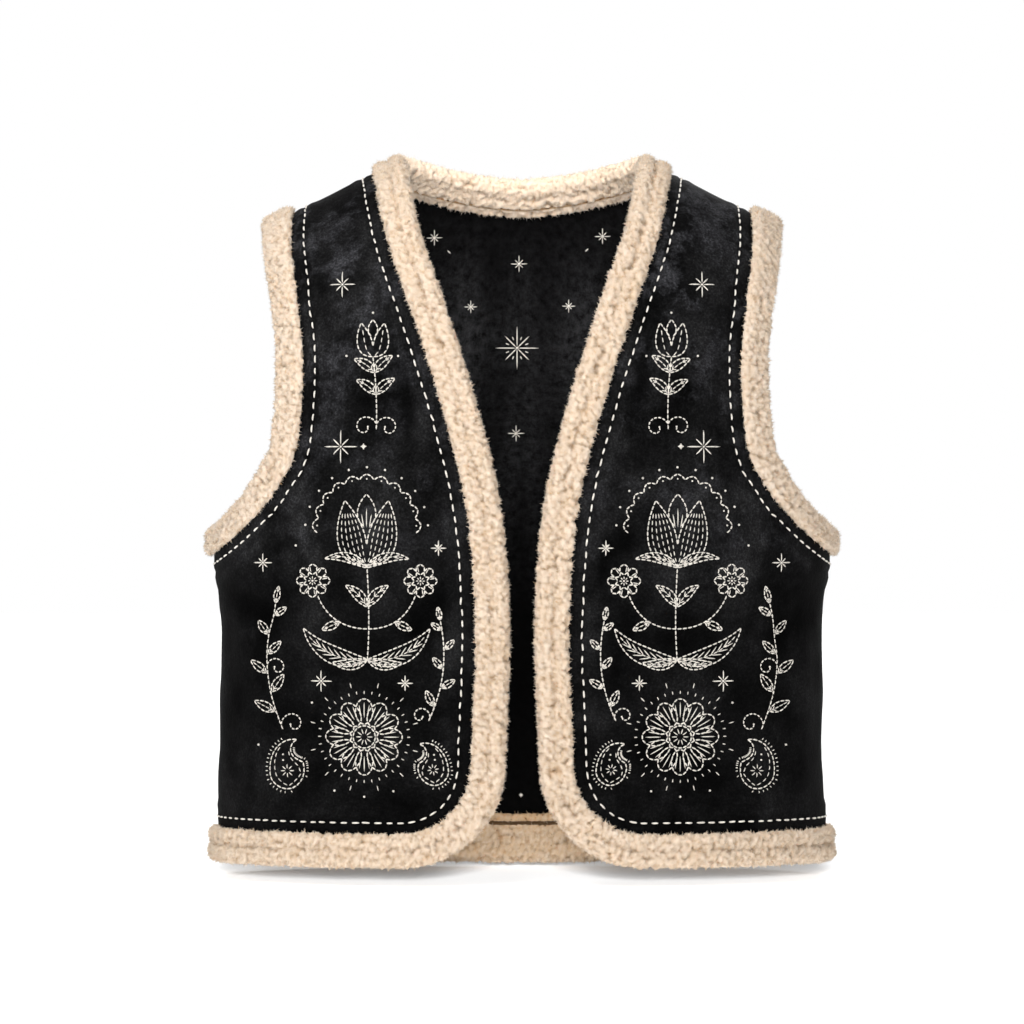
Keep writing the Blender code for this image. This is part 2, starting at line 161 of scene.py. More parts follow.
FRONT = -1.0
BACK = 1.0
LEFT = 1.0
RIGHT = -1.0
SIDES = (("left", LEFT), ("right", RIGHT))
DEPTH_COLUMN = {FRONT: 2, BACK: 3}
FOLDS = {FRONT: FRONT_FOLDS, BACK: BACK_FOLDS}


# The torso form

def smooth(knots, values, at):
    """Cubic curve through values at knots, with slopes taken from each knot's neighbours."""
    order = np.argsort(knots)
    knots = np.asarray(knots)[order]
    values = np.asarray(values)[order]
    slopes = np.gradient(values, knots)
    cell = np.clip(np.searchsorted(knots, at) - 1, 0, len(knots) - 2)
    width = knots[cell + 1] - knots[cell]
    t = (at - knots[cell]) / width
    start = (1 + 2 * t) * (1 - t) ** 2 * values[cell] + t * (1 - t) ** 2 * width * slopes[cell]
    end = t * t * (3 - 2 * t) * values[cell + 1] + t * t * (t - 1) * width * slopes[cell + 1]
    return start + end


def ease(low, high, at):
    """0 below low and 1 above high, and smooth between: 3t squared less 2t cubed."""
    t = np.clip((at - low) / (high - low), 0, 1)
    return t * t * (3 - 2 * t)


def unit(vectors):
    """Vectors divided by their lengths."""
    return vectors / np.maximum(np.linalg.norm(vectors, axis=-1, keepdims=True), TINY)


def section(column, z):
    """One measure of the torso form at height z."""
    return smooth(SECTIONS[:, 0], SECTIONS[:, column], np.clip(z, SECTIONS[-1, 0], SECTIONS[0, 0]))


TABLE_ROWS = 3001


def quarter_oval(power, aspect):
    """A quarter of a superellipse as tables: length along it, and its two factors, rising and falling."""
    angle = np.linspace(0, pi / 2, TABLE_ROWS)
    rising = np.sin(angle) ** (2 / power)
    falling = np.cos(angle) ** (2 / power)
    steps = np.hypot(np.diff(rising), aspect * np.diff(falling))
    return np.concatenate([[0], np.cumsum(steps)]), rising, falling


ROUND_LENGTH, ROUND_WIDE, ROUND_DEEP = quarter_oval(SECTION_POWER, SECTION_ASPECT)
ROUND_SHARE = ROUND_LENGTH / ROUND_LENGTH[-1]
ROUND_SPAN = ROUND_LENGTH[-1] * NOMINAL_HALF_WIDTH
ROLL_LENGTH, ROLL_OUT, ROLL_LEFT = quarter_oval(2, ROLL_NOMINAL[0] / ROLL_NOMINAL[1])
ROLL_LENGTH = ROLL_LENGTH * ROLL_NOMINAL[1]


def shoulder_height(x):
    """The shoulder seam's height at a distance from the middle: a hyperbola."""
    return SHOULDER_PEAK - SHOULDER_SLOPE * np.sqrt(x * x + SHOULDER_BEND ** 2)


def roll_depth(x):
    """How far below the shoulder seam the cloth has finished rolling over."""
    share = np.clip(np.abs(x) / SHOULDER_TIP, 0, 1) ** 2
    return ROLL_AT_NECK + (ROLL_AT_TIP - ROLL_AT_NECK) * share


def fold_rise(face, share, z):
    """Bell-shaped folds that grow from the height where they begin towards the hem."""
    rise = np.zeros(np.broadcast(share, z).shape)
    for centre, top, height, span in FOLDS[face]:
        rise = rise + height * ease(0, FOLD_RUN, top - z) * np.exp(-((share - centre) / (0.5 * span)) ** 2)
    return rise


# A point's height and the width there depend on each other, so they are worked out in rounds.
HEIGHT_ROUNDS = 8
FIRST_HEIGHT = -0.1


def torso(face, share, drop):
    """The form's point at a share and a drop.

    Superellipse sections lie under a shoulder that rolls over as an ellipse. A share past 1 goes on round the
    side seam.
    """
    share = np.asarray(share, float)
    drop = np.asarray(drop, float)
    round_share = 1 - np.abs(1 - np.abs(share))
    wide = np.interp(round_share, ROUND_SHARE, ROUND_WIDE) * np.sign(share + TINY)
    deep = np.interp(round_share, ROUND_SHARE, ROUND_DEEP) * np.where(np.abs(share) > 1, -1, 1)
    out = np.interp(np.abs(drop), ROLL_LENGTH, ROLL_OUT) * np.sign(drop)
    down = 1 - np.interp(np.abs(drop), ROLL_LENGTH, ROLL_LEFT)
    below = np.maximum(np.abs(drop) - ROLL_LENGTH[-1], 0)
    z = np.full(np.broadcast(share, drop).shape, FIRST_HEIGHT)
    for _ in range(HEIGHT_ROUNDS):
        x = section(1, z) * wide
        z = shoulder_height(x) - roll_depth(x) * down - below
    depth = section(DEPTH_COLUMN[face], z) + fold_rise(face, np.abs(share), z)
    return np.stack([x, face * depth * deep * out, z], axis=-1)


def share_and_drop(x, z):
    """The place on the form of a point given by its distance from the middle and its height."""
    x = np.asarray(x, float)
    z = np.asarray(z, float)
    share = np.interp(np.abs(x) / section(1, z), ROUND_WIDE, ROUND_SHARE)
    down = shoulder_height(x) - z
    roll = roll_depth(x)
    rolled = np.interp(np.clip(1 - down / roll, 0, 1), ROLL_LEFT[::-1], ROLL_LENGTH[::-1])
    return np.stack([share, rolled + np.maximum(down - roll, 0)], axis=-1)


def slopes_and_normal(face, place):
    """The form's slopes along share and drop, by central differences, and its outward normal."""
    small = 1e-3
    share, drop = place[..., 0], place[..., 1]
    by_share = (torso(face, share + small, drop) - torso(face, share - small, drop)) / (2 * small)
    by_drop = (torso(face, share, drop + small) - torso(face, share, drop - small)) / (2 * small)
    return by_share, by_drop, unit(np.cross(by_share, by_drop) * face)


def length_along(points):
    """Distance along a line of points, from its start."""
    return np.concatenate([[0], np.cumsum(np.linalg.norm(np.diff(points, axis=0), axis=-1))])


def along_line(at, along, values):
    """Values of a line at given distances along it."""
    return np.stack([np.interp(at, along, values[:, i]) for i in range(values.shape[1])], axis=-1)


def evenly(face, places, step):
    """Places spaced evenly along a line on the form."""
    along = length_along(torso(face, places[:, 0], places[:, 1]))
    count = max(2, int(round(along[-1] / step)) + 1)
    return along_line(np.linspace(0, along[-1], count), along, places)


INSET_STEPS = 4


def inset(face, places, distance, inward):
    """A line moved into the panel along the form, square to itself, with its ends held on their seams.

    Each step is split along the form's two slopes, by solving two equations for each point.
    """
    along = np.gradient(torso(face, places[:, 0], places[:, 1]), axis=0)
    moved = places.copy()
    direction = None
    for _ in range(INSET_STEPS):
        by_share, by_drop, normal = slopes_and_normal(face, moved)
        if direction is None:
            direction = np.cross(normal, along) * inward
        direction = unit(direction - normal * np.sum(direction * normal, axis=1, keepdims=True))
        aa, ab, bb = (np.sum(p * q, axis=1) for p, q in
                      ((by_share, by_share), (by_share, by_drop), (by_drop, by_drop)))
        ad, bd = np.sum(by_share * direction, axis=1), np.sum(by_drop * direction, axis=1)
        spread = aa * bb - ab * ab
        move = np.stack([(ad * bb - bd * ab) / spread, (bd * aa - ad * ab) / spread], axis=-1)
        moved = moved + move * (distance / INSET_STEPS)[:, None]
    for end in (0, -1):
        held = int(np.argmin(np.abs(moved[end] - places[end])))
        moved[end, held] = places[end, held]
    return moved


# The panels' outlines

SEAM_SHARE = 1.0
LONG_LINE = 200
LEVEL_LINE = 120
SHORT_LINE = 60
PATCH_ROUNDS = 700

# Width and length that the steps of half a panel's mesh are counted over
FRONT_MESH = (0.19, 0.47)
BACK_MESH = (0.22, 0.47)

# How high the front grid's own lower corner lies on the edge's round corner, as a share of its radius
GRID_CORNER = 0.3


def width_at(share, z):
    """Distance from the middle at a share of the way round and a height."""
    return section(1, z) * np.interp(share, ROUND_SHARE, ROUND_WIDE)


def level_line(start, end, height):
    """A line across the form between two shares at a height given for each share."""
    share = np.linspace(start, end, LEVEL_LINE)
    z = height(share)
    places = share_and_drop(width_at(share, z), z)
    places[:, 0] = share
    return places


def front_edge_line():
    """Neck, front edge, round lower corner and hem, from the shoulder seam to the side seam."""
    corner_top = HEM_HEIGHT + CORNER_RADIUS
    z = np.linspace(shoulder_height(NECK_HALF_WIDTH), corner_top, LONG_LINE)
    x = smooth(FRONT_EDGE[:, 0], FRONT_EDGE[:, 1], z)
    turn = np.linspace(0, pi / 2, SHORT_LINE)[1:]
    x = np.concatenate([x, x[-1] + CORNER_RADIUS * (1 - np.cos(turn))])
    z = np.concatenate([z, corner_top - CORNER_RADIUS * np.sin(turn)])
    line = share_and_drop(x, z)
    line[0, 1] = 0
    hem = level_line(line[-1, 0], SEAM_SHARE, lambda share: HEM_HEIGHT + 0 * share)
    return np.concatenate([line, hem[1:]])


def back_hem_line():
    """The back hem from the middle to the side, dipping in the middle as a cosine."""
    def height(share):
        """The hem's height at a share."""
        return HEM_HEIGHT - BACK_HEM_DIP * 0.5 * (1 + np.cos(pi * share))

    return level_line(0, SEAM_SHARE, height)


def back_neck_line():
    """A quarter of a flattened superellipse on the cloth, from the shoulder seam to the back's middle."""
    side = share_and_drop(NECK_HALF_WIDTH, shoulder_height(NECK_HALF_WIDTH))
    middle = share_and_drop(0.0, BACK_NECK_HEIGHT)
    turn = np.linspace(0, pi / 2, LONG_LINE)
    bend = 2 / BACK_NECK_POWER
    line = np.stack([side[0] * np.cos(turn) ** bend, middle[1] * np.sin(turn) ** bend], axis=-1)
    line[0, 1] = 0
    line[-1, 0] = 0
    return line


def armhole_line():
    """The armhole from the side seam to the shoulder seam: a quarter of a square oval, then the table."""
    z = np.linspace(shoulder_height(SHOULDER_TIP), ARMHOLE_EDGE[-1, 0], LEVEL_LINE)
    upper = share_and_drop(smooth(ARMHOLE_EDGE[:, 0], ARMHOLE_EDGE[:, 1], z), z)
    upper[0, 1] = 0
    side = section(1, UNDERARM_HEIGHT)
    below = share_and_drop(side, UNDERARM_HEIGHT)[1] - upper[-1, 1]
    turn = np.linspace(0, pi / 2, LONG_LINE)[1:]
    bend = 2 / UNDERARM_POWER
    share = upper[-1, 0] + (SEAM_SHARE - upper[-1, 0]) * (1 - np.cos(turn) ** bend)
    lower = np.stack([share, upper[-1, 1] + below * np.sin(turn) ** bend], axis=-1)
    return np.concatenate([upper, lower])[::-1]


def underarm_squeeze(points):
    """The trim's leaves are pinched narrower where the armhole turns under the arm."""
    share = np.clip((points[:, 2] - UNDERARM_HEIGHT) / (ARMHOLE_EDGE[-1, 0] - UNDERARM_HEIGHT), 0, 1)
    return UNDERARM_SQUEEZE + (1 - UNDERARM_SQUEEZE) * share


def even_side(places, count):
    """A side of a panel's patch: count places spaced evenly by the cloth's nominal lengths."""
    along = length_along(places * (ROUND_SPAN, 1))
    return along_line(np.linspace(0, along[-1], count), along, places)


def patch(top, bottom, left, right, step, mesh_size):
    """A grid of places between four sides.

    It starts as a Coons patch, and each place is then made the mean of its neighbours, many times over.
    """
    columns, rows = (int(size / step) for size in mesh_size)
    top, bottom = even_side(top, columns), even_side(bottom, columns)
    left, right = even_side(left, rows), even_side(right, rows)
    u = np.linspace(0, 1, columns)[None, :, None]
    v = np.linspace(0, 1, rows)[:, None, None]
    corners = ((1 - u) * (1 - v) * top[0] + u * (1 - v) * top[-1]
               + (1 - u) * v * bottom[0] + u * v * bottom[-1])
    sides = (1 - v) * top[None] + v * bottom[None] + (1 - u) * left[:, None] + u * right[:, None]
    places = sides - corners
    for _ in range(PATCH_ROUNDS):
        above_and_below = places[:-2, 1:-1] + places[2:, 1:-1]
        places[1:-1, 1:-1] = 0.25 * (above_and_below + places[1:-1, :-2] + places[1:-1, 2:])
    return places


def front_patch(step):
    """The front's grid, from its edge at the neck and front to the armhole and side seam."""
    edge = front_edge_line()
    armhole = armhole_line()[::-1]
    height = torso(FRONT, edge[:, 0], edge[:, 1])[:, 2]
    corner = HEM_HEIGHT + GRID_CORNER * CORNER_RADIUS
    beyond = edge[:, 0] > 0.5
    turn = int(np.argmin(np.abs(height - corner) + beyond))
    side = np.linspace(armhole[-1], edge[-1], SHORT_LINE)
    top = np.linspace(edge[0], armhole[0], SHORT_LINE)
    right = np.concatenate([armhole, side[1:]])
    return patch(top, edge[turn:], edge[:turn + 1], right, step, FRONT_MESH)


def back_patch(step):
    """Half of the back's grid, from the middle to the armhole and side seam."""
    neck = back_neck_line()
    armhole = armhole_line()[::-1]
    hem = back_hem_line()
    shoulder = np.linspace(neck[0], armhole[0], SHORT_LINE)
    top = np.concatenate([neck[::-1], shoulder[1:]])
    side = np.linspace(armhole[-1], hem[-1], SHORT_LINE)
    middle = np.linspace(neck[-1], hem[0], SHORT_LINE)
    return patch(top, hem, middle, np.concatenate([armhole, side[1:]]), step, BACK_MESH)


# Meshes

def link(thing):
    """Puts an object in the scene."""
    bpy.context.scene.collection.objects.link(thing)
    return thing


def new_piece(name, points, faces, material, attributes=(), uv=None):
    """A smooth mesh object from arrays: points, a list of face arrays, point attributes and a corner map."""
    mesh = bpy.data.meshes.new(name)
    corners = np.concatenate([part.ravel() for part in faces]).astype(np.int32)
    sizes = np.concatenate([np.full(len(part), part.shape[1]) for part in faces])
    starts = np.concatenate([[0], np.cumsum(sizes)[:-1]]).astype(np.int32)
    mesh.vertices.add(len(points))
    mesh.vertices.foreach_set("co", np.asarray(points, np.float32).ravel())
    mesh.loops.add(len(corners))
    mesh.loops.foreach_set("vertex_index", corners)
    mesh.polygons.add(len(sizes))
    mesh.polygons.foreach_set("loop_start", starts)
    for title, values in attributes:
        kept = mesh.attributes.new(title, "FLOAT", "POINT")
        kept.data.foreach_set("value", np.asarray(values, np.float32).ravel())
    if uv is not None:
        layer = mesh.uv_layers.new(name="Cloth")
        layer.data.foreach_set("uv", np.asarray(uv, np.float32)[corners].ravel())
    mesh.update(calc_edges=True)
    mesh.validate()
    mesh.shade_smooth()
    mesh.materials.append(material)
    piece = link(bpy.data.objects.new(name, mesh))
    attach(piece, next(iter(frame["bodies"])))
    return piece


def grid_faces(rows, columns, closed_rows=False, closed_columns=False):
    """The quads of a grid of points numbered row by row."""
    i = np.arange(rows if closed_rows else rows - 1)[:, None]
    j = np.arange(columns if closed_columns else columns - 1)[None, :]
    here, there = i * columns, (i + 1) % rows * columns
    after = (j + 1) % columns
    corners = np.broadcast_arrays(here + j, here + after, there + after, there + j)
    return np.stack(corners, axis=-1).reshape(-1, 4)


def facing_out(points, faces, normals):
    """Faces turned so that on the whole they look along the normals."""
    a, b, c = (points[faces[:, i]] for i in range(3))
    looks = np.sum(np.cross(b - a, c - a) * normals[faces[:, 0]])
    return faces if looks > 0 else faces[:, ::-1]


def shell(outer, inner, normals):
    """A closed wall between two grids of points: both skins and a rim round them, as points and faces."""
    rows, columns = outer.shape[:2]
    count = rows * columns
    points = np.concatenate([outer.reshape(-1, 3), inner.reshape(-1, 3)])
    front = facing_out(points, grid_faces(rows, columns), normals.reshape(-1, 3))
    number = np.arange(count).reshape(rows, columns)
    loop = np.concatenate([number[0, :-1], number[:-1, -1], number[-1, :0:-1], number[:0:-1, 0]])
    following = np.roll(loop, -1)
    rim = np.stack([loop, following, following + count, loop + count], axis=-1)
    first = front[0]
    runs_with = any(first[k] == loop[0] and first[(k + 1) % 4] == loop[1] for k in range(4))
    rim = rim[:, ::-1] if runs_with else rim
    return points, [front, front[:, ::-1] + count, rim]


# Uneven waves, and distance from a line

WAVE_COUNT = 9
WAVE_SIZES = (0.7, 1.7)
POINT_BLOCK = 4000


def waves(points, size, seed):
    """Uneven values from about -1 to 1: a sum of sines with seeded directions, lengths and phases."""
    rng = np.random.default_rng(seed)
    direction = unit(rng.normal(size=(WAVE_COUNT, 3)))
    pitch = tau / (size * rng.uniform(*WAVE_SIZES, WAVE_COUNT))
    phase = rng.uniform(0, tau, WAVE_COUNT)
    return np.sin(points @ (direction * pitch[:, None]).T + phase).sum(axis=-1) / np.sqrt(WAVE_COUNT)


def distance_to_line(points, line):
    """Distance of each point from a line's nearest point, and that point's number, worked out in blocks."""
    near, number = [], []
    for start in range(0, len(points), POINT_BLOCK):
        part = points[start:start + POINT_BLOCK]
        squares = (part ** 2).sum(axis=1)[:, None] + (line ** 2).sum(axis=1)[None] - 2 * part @ line.T
        number.append(squares.argmin(axis=1))
        near.append(np.sqrt(np.maximum(squares.min(axis=1), 0)))
    return np.concatenate(near), np.concatenate(number)


# Creases and puckers in the cloth

# One row for each soft crease: side (0 for both), start share, start height, end share, end height,
# sideways bend, rise, half width.
FRONT_CREASES = np.array([
    (0, 0.430, -0.060, 0.290, -0.205, 0.010, -0.0022, 0.0075),
    (0, 0.395, -0.085, 0.255, -0.225, 0.010, 0.0014, 0.0080),
    (1, 0.930, -0.262, 0.610, -0.330, -0.014, -0.0024, 0.0110),
    (-1, 0.935, -0.268, 0.560, -0.300, -0.018, -0.0027, 0.0100),
    (0, 0.700, -0.200, 0.560, -0.335, 0.012, 0.0016, 0.0130),
    (1, 0.960, -0.290, 0.915, -0.440, 0.008, -0.0018, 0.0080),
    (-1, 0.955, -0.300, 0.900, -0.405, 0.010, -0.0022, 0.0075),
    (1, 0.880, -0.330, 0.820, -0.460, 0.006, 0.0016, 0.0090),
    (-1, 0.850, -0.350, 0.835, -0.462, -0.006, 0.0018, 0.0100),
    (1, 0.640, -0.060, 0.560, -0.150, -0.006, -0.0016, 0.0085),
    (-1, 0.660, -0.052, 0.600, -0.130, 0.006, -0.0014, 0.0090),
    (0, 0.300, -0.300, 0.180, -0.345, -0.004, -0.0012, 0.0090),
    (1, 0.350, -0.240, 0.130, -0.300, 0.008, -0.0013, 0.0100),
    (-1, 0.330, -0.320, 0.140, -0.260, -0.008, -0.0012, 0.0110),
])
BACK_CREASES = np.array([
    (1, 0.100, -0.040, 0.130, -0.230, 0.010, -0.0022, 0.0120),
    (-1, 0.090, -0.045, 0.140, -0.190, -0.008, -0.0020, 0.0110),
    (1, 0.380, -0.060, 0.300, -0.210, 0.010, 0.0018, 0.0120),
    (-1, 0.420, -0.070, 0.330, -0.250, 0.012, 0.0016, 0.0130),
    (1, 0.900, -0.270, 0.560, -0.330, -0.016, -0.0026, 0.0110),
    (-1, 0.920, -0.275, 0.600, -0.345, -0.012, -0.0024, 0.0120),
    (1, 0.960, -0.300, 0.900, -0.430, 0.010, -0.0020, 0.0085),
    (-1, 0.950, -0.295, 0.870, -0.420, 0.008, -0.0020, 0.0080),
    (1, 0.480, -0.300, 0.440, -0.455, 0.010, 0.0018, 0.0130),
    (-1, 0.240, -0.280, 0.200, -0.450, -0.008, 0.0020, 0.0140),
    (1, 0.200, -0.330, 0.040, -0.300, 0.006, -0.0014, 0.0110),
    (-1, 0.720, -0.330, 0.740, -0.455, 0.010, -0.0018, 0.0110),
])
CREASES = {FRONT: FRONT_CREASES, BACK: BACK_CREASES}

# The lining hangs in longer folds from the neck, in rows of the same columns.
LINING_CREASES = np.array([
    (1, 0.075, -0.028, 0.130, -0.300, 0.006, -0.0030, 0.0085),
    (-1, 0.085, -0.028, 0.120, -0.260, 0.008, -0.0034, 0.0080),
    (1, 0.180, -0.040, 0.230, -0.330, -0.008, 0.0026, 0.0100),
    (-1, 0.170, -0.035, 0.240, -0.280, 0.006, 0.0024, 0.0090),
    (1, 0.290, -0.050, 0.300, -0.200, 0.008, -0.0024, 0.0090),
    (-1, 0.300, -0.045, 0.330, -0.250, -0.006, -0.0026, 0.0100),
    (0, 0.000, -0.032, 0.000, -0.440, 0.000, -0.0012, 0.0035),
])

STITCH_INSET = 0.0262
HEM_CLOSER = 0.0016
CLOSER_BELOW = (HEM_HEIGHT + 0.01, HEM_HEIGHT + 0.06)
TOP_PITCH = 0.0079
EDGE_STEP = 0.0015

# Slow waves in the cloth and the lining, and in the swell's height as a share of it: rise, length, seed
CLOTH_WAVES = (
    (0.0007, 0.07, 11),
    (0.00025, 0.024, 12),
)
LINING_WAVE = (0.0003, 0.05, 14)
SWELL_WAVE = (0.35, 0.03, 13)

# Distances from a trimmed edge between which the cloth, the lining and the seams' grooves grow to the full
CLOTH_FREE = (0.019, 0.042)
LINING_FREE = (0.022, 0.040)
GROOVE_FREE = (0.008, 0.020)
LINING_FULL = 0.0011
LINING_SOFT = 0.0004

# The swell on each side of the topstitching: its distance from the stitches inside them, and from the edge
# outside them, and its half width.
SWELL_INSIDE = (0.0052, 0.0034)
SWELL_OUTSIDE = (0.0225, 0.0026)
SWELL_RISE = 0.00085
SWELL_OUTSIDE_SHARE = 0.8
DENT_WIDTH = 0.0017
DENT_DEPTH = 0.0003
DENT_BEAT = 0.00045
SEAM_DIP = 0.0008
SEAM_WIDTH = 0.0020
# How much deeper the seam's groove is painted as shade than it dips
SEAM_SHADE = 1.5
CREASE_FADE = 0.8


def stitch_inset(z):
    """How far in from a trimmed edge the topstitching runs: a little closer along the hem."""
    return STITCH_INSET - HEM_CLOSER * (1 - ease(*CLOSER_BELOW, z))


def crease_rise(table, side, x, z):
    """Bell-shaped troughs and ridges along bent lines, each fading towards its ends as a sine."""
    rise = np.zeros(x.shape)
    for only, share_a, z_a, share_b, z_b, bend, height, half_width in table:
        here = np.ones(x.shape, bool) if only == 0 else side == only
        a = np.array([width_at(share_a, z_a), z_a])
        run = np.array([width_at(share_b, z_b), z_b]) - a
        long = np.hypot(*run)
        run = run / long
        t = ((np.abs(x) - a[0]) * run[0] + (z - a[1]) * run[1]) / long
        across = (np.abs(x) - a[0]) * run[1] - (z - a[1]) * run[0] - bend * 4 * t * (1 - t)
        fade = np.sin(pi * np.clip(t, 0, 1)) ** CREASE_FADE
        rise = rise + here * height * fade * np.exp(-(across / half_width) ** 2)
    return rise


EDGES = {FRONT: (front_edge_line, armhole_line), BACK: (back_hem_line, armhole_line, back_neck_line)}


def edge_lines(face):
    """The panel's trimmed edges on one half, as lines of points."""
    return [torso(face, *evenly(face, line(), EDGE_STEP).T) for line in EDGES[face]]


def near_edges(face, points):
    """Distance of each point from its panel's nearest trimmed edge, and how far along that edge it is."""
    half = points.reshape(-1, 3).copy()
    half[:, 0] *= np.sign(half[:, 0] + TINY)
    found = [distance_to_line(half, line) for line in edge_lines(face)]
    near = [distance for distance, _ in found]
    number = np.choose(np.argmin(near, axis=0), [place for _, place in found])
    shape = points.shape[:-1]
    return np.min(near, axis=0).reshape(shape), number.reshape(shape) * EDGE_STEP


def rippled(wave, points):
    """A wave's rise at points."""
    height, size, seed = wave
    return height * waves(points, size, seed)


def lining_fullness(side, points, away):
    """How far the lining's folds stand inwards: half of f plus the root of f squared and a small square."""
    full = crease_rise(LINING_CREASES, side, points[..., 0], points[..., 2]) + LINING_FULL
    full = 0.5 * (full + np.sqrt(full * full + LINING_SOFT ** 2)) + rippled(LINING_WAVE, points)
    return full * ease(*LINING_FREE, away)


def stitched(points, away, along):
    """The swell on both sides of the topstitching, and the dent under it, deeper at each stitch."""
    beat = 0.5 + 0.5 * np.cos(tau * along / TOP_PITCH)
    uneven = 1 + rippled(SWELL_WAVE, points)
    seam = away - stitch_inset(points[..., 2])
    inside = np.exp(-((seam - SWELL_INSIDE[0]) / SWELL_INSIDE[1]) ** 2)
    outside = SWELL_OUTSIDE_SHARE * np.exp(-((away - SWELL_OUTSIDE[0]) / SWELL_OUTSIDE[1]) ** 2)
    dent = np.exp(-(seam / DENT_WIDTH) ** 2)
    return SWELL_RISE * (inside + outside) * uneven, dent * (DENT_DEPTH + DENT_BEAT * beat)


def cloth_rise(face, side, points, lined):
    """How far the cloth stands off the plain form, and how far its shown side is raised, for the painted
    light and shade of its folds.

    Near a trimmed edge its creases and waves fade away, so that the cloth stays in the trim's slot. A lining
    follows its back, and its own folds stand only towards the inside.
    """
    away, along = near_edges(face, points)
    rise = crease_rise(CREASES[face], side, points[..., 0], points[..., 2])
    for wave in CLOTH_WAVES:
        rise = rise + rippled(wave, points)
    rise = rise * ease(*CLOTH_FREE, away)
    if lined:
        full = lining_fullness(side, points, away)
        return rise - full, full - LINING_FULL
    swell, dent = stitched(points, away, along)
    rise = rise + swell - dent
    groove = np.exp(-(points[..., 1] / SEAM_WIDTH) ** 2) * ease(*GROOVE_FREE, away)
    # The seam's groove counts deeper in the raised value than in the cloth, as painted shade along the seam
    return rise - SEAM_DIP * groove, rise - SEAM_SHADE * SEAM_DIP * groove


# Materials

def principled(name, rough, sheen=0.0, sheen_rough=0.5, specular=0.5):
    """A material with its values set on the shader's own sockets; returns it with its tree and shader."""
    material = bpy.data.materials.new(name)
    material.use_nodes = True
    tree = material.node_tree
    surface = tree.nodes["Principled BSDF"]
    surface.inputs["Roughness"].default_value = rough
    surface.inputs["Sheen Weight"].default_value = sheen
    surface.inputs["Sheen Roughness"].default_value = sheen_rough
    surface.inputs["Specular IOR Level"].default_value = specular
    return material, tree, surface


def add_node(tree, kind, links=(), **values):
    """A node of a kind, with its properties or socket values set, and its inputs linked."""
    node = tree.nodes.new(kind)
    for key, value in values.items():
        if hasattr(node, key):
            setattr(node, key, value)
        else:
            node.inputs[key.replace("_", " ")].default_value = value
    for socket, source in links:
        tree.links.new(source, node.inputs[socket])
    return node


def noise(tree, vector, scale, detail, rough):
    """Uneven values from a noise texture on a vector."""
    links = [("Vector", vector)]
    node = add_node(tree, "ShaderNodeTexNoise", links, Scale=scale, Detail=detail, Roughness=rough)
    return node.outputs["Fac"]


def bands(tree, vector, way, **values):
    """Even bands across a vector."""
    node = add_node(tree, "ShaderNodeTexWave", [("Vector", vector)], bands_direction=way, **values)
    return node.outputs["Fac"]


def ramp(tree, factor, *stops):
    """A colour ramp: each stop is its place and its colour."""
    node = add_node(tree, "ShaderNodeValToRGB", [("Fac", factor)])
    elements = node.color_ramp.elements
    while len(elements) < len(stops):
        elements.new(0.5)
    for element, (place, color) in zip(elements, stops):
        element.position = place
        element.color = (*color, 1)
    return node.outputs["Color"]


def toned(color, share):
    """A colour made darker or paler by a share."""
    return tuple(share * part for part in color)


def greys(stops):
    """Stops of a ramp from places and brightnesses."""
    return [(place, (value, value, value)) for place, value in stops]


def bump(tree, surface, height, strength, distance, normal=None):
    """A bump from a height, set on the shader, or chained after another."""
    links = [("Height", height)] + ([("Normal", normal)] if normal else [])
    node = add_node(tree, "ShaderNodeBump", links, Strength=strength, Distance=distance)
    tree.links.new(node.outputs["Normal"], surface.inputs["Normal"])
    return node.outputs["Normal"]


def share_between(tree, value, low, high):
    """0 where a value is low and 1 where it is high, straight between."""
    node = add_node(tree, "ShaderNodeMapRange", [("Value", value)], From_Min=low, From_Max=high)
    return node.outputs["Result"]


def height_share(tree, place, low, high):
    """0 at the low height and 1 at the high one, straight between."""
    z = add_node(tree, "ShaderNodeSeparateXYZ", [("Vector", place)]).outputs["Z"]
    return share_between(tree, z, low, high)


def scaled_sum(tree, value, share, base):
    """A value times a share, with a base added; the base may be a socket or a number."""
    node = add_node(tree, "ShaderNodeMath", [(0, value)], operation="MULTIPLY_ADD")
    node.inputs[1].default_value = share
    if isinstance(base, float):
        node.inputs[2].default_value = base
    else:
        tree.links.new(base, node.inputs[2])
    return node.outputs[0]


def fold_shaded(tree, color, share):
    """A colour with painted light on the cloth's ridges and painted shade in its troughs and the suede's seam
    grooves, by a share.
    """
    raised = add_node(tree, "ShaderNodeAttribute", attribute_name="raised").outputs["Fac"]
    links = [(0, color), ("Scale", scaled_sum(tree, raised, share, 1.0))]
    return add_node(tree, "ShaderNodeVectorMath", links, operation="SCALE").outputs[0]


def multiplied(tree, first, second, kind="ShaderNodeMath"):
    """The product of two values, or of two colours."""
    return add_node(tree, kind, [(0, first), (1, second)], operation="MULTIPLY").outputs[0]


def mixed_color(tree, factor, first, second):
    """A colour from a socket and a plain one, mixed by a factor."""
    node = add_node(tree, "ShaderNodeMix", [("Factor", factor), (6, first)], data_type="RGBA")
    node.inputs[7].default_value = (*second, 1)
    return node.outputs[2]


# Stops of brightness: the suede's and the lining's painted shade by height, and the suede's specks
SUEDE_SHADE = ((0.0, 0.55), (0.30, 0.70), (0.55, 1.25), (1.0, 0.90))
LINING_SHADE = ((0.32, 0.08), (0.62, 1.25), (0.80, 1.20), (0.96, 0.36))
SPECKS = ((0.30, 0.35), (0.50, 0.90), (0.70, 2.4))
LINING_THREAD = 0.0009
PILE_CLOUDS = 0.22
SLOT_DARK = 0.22


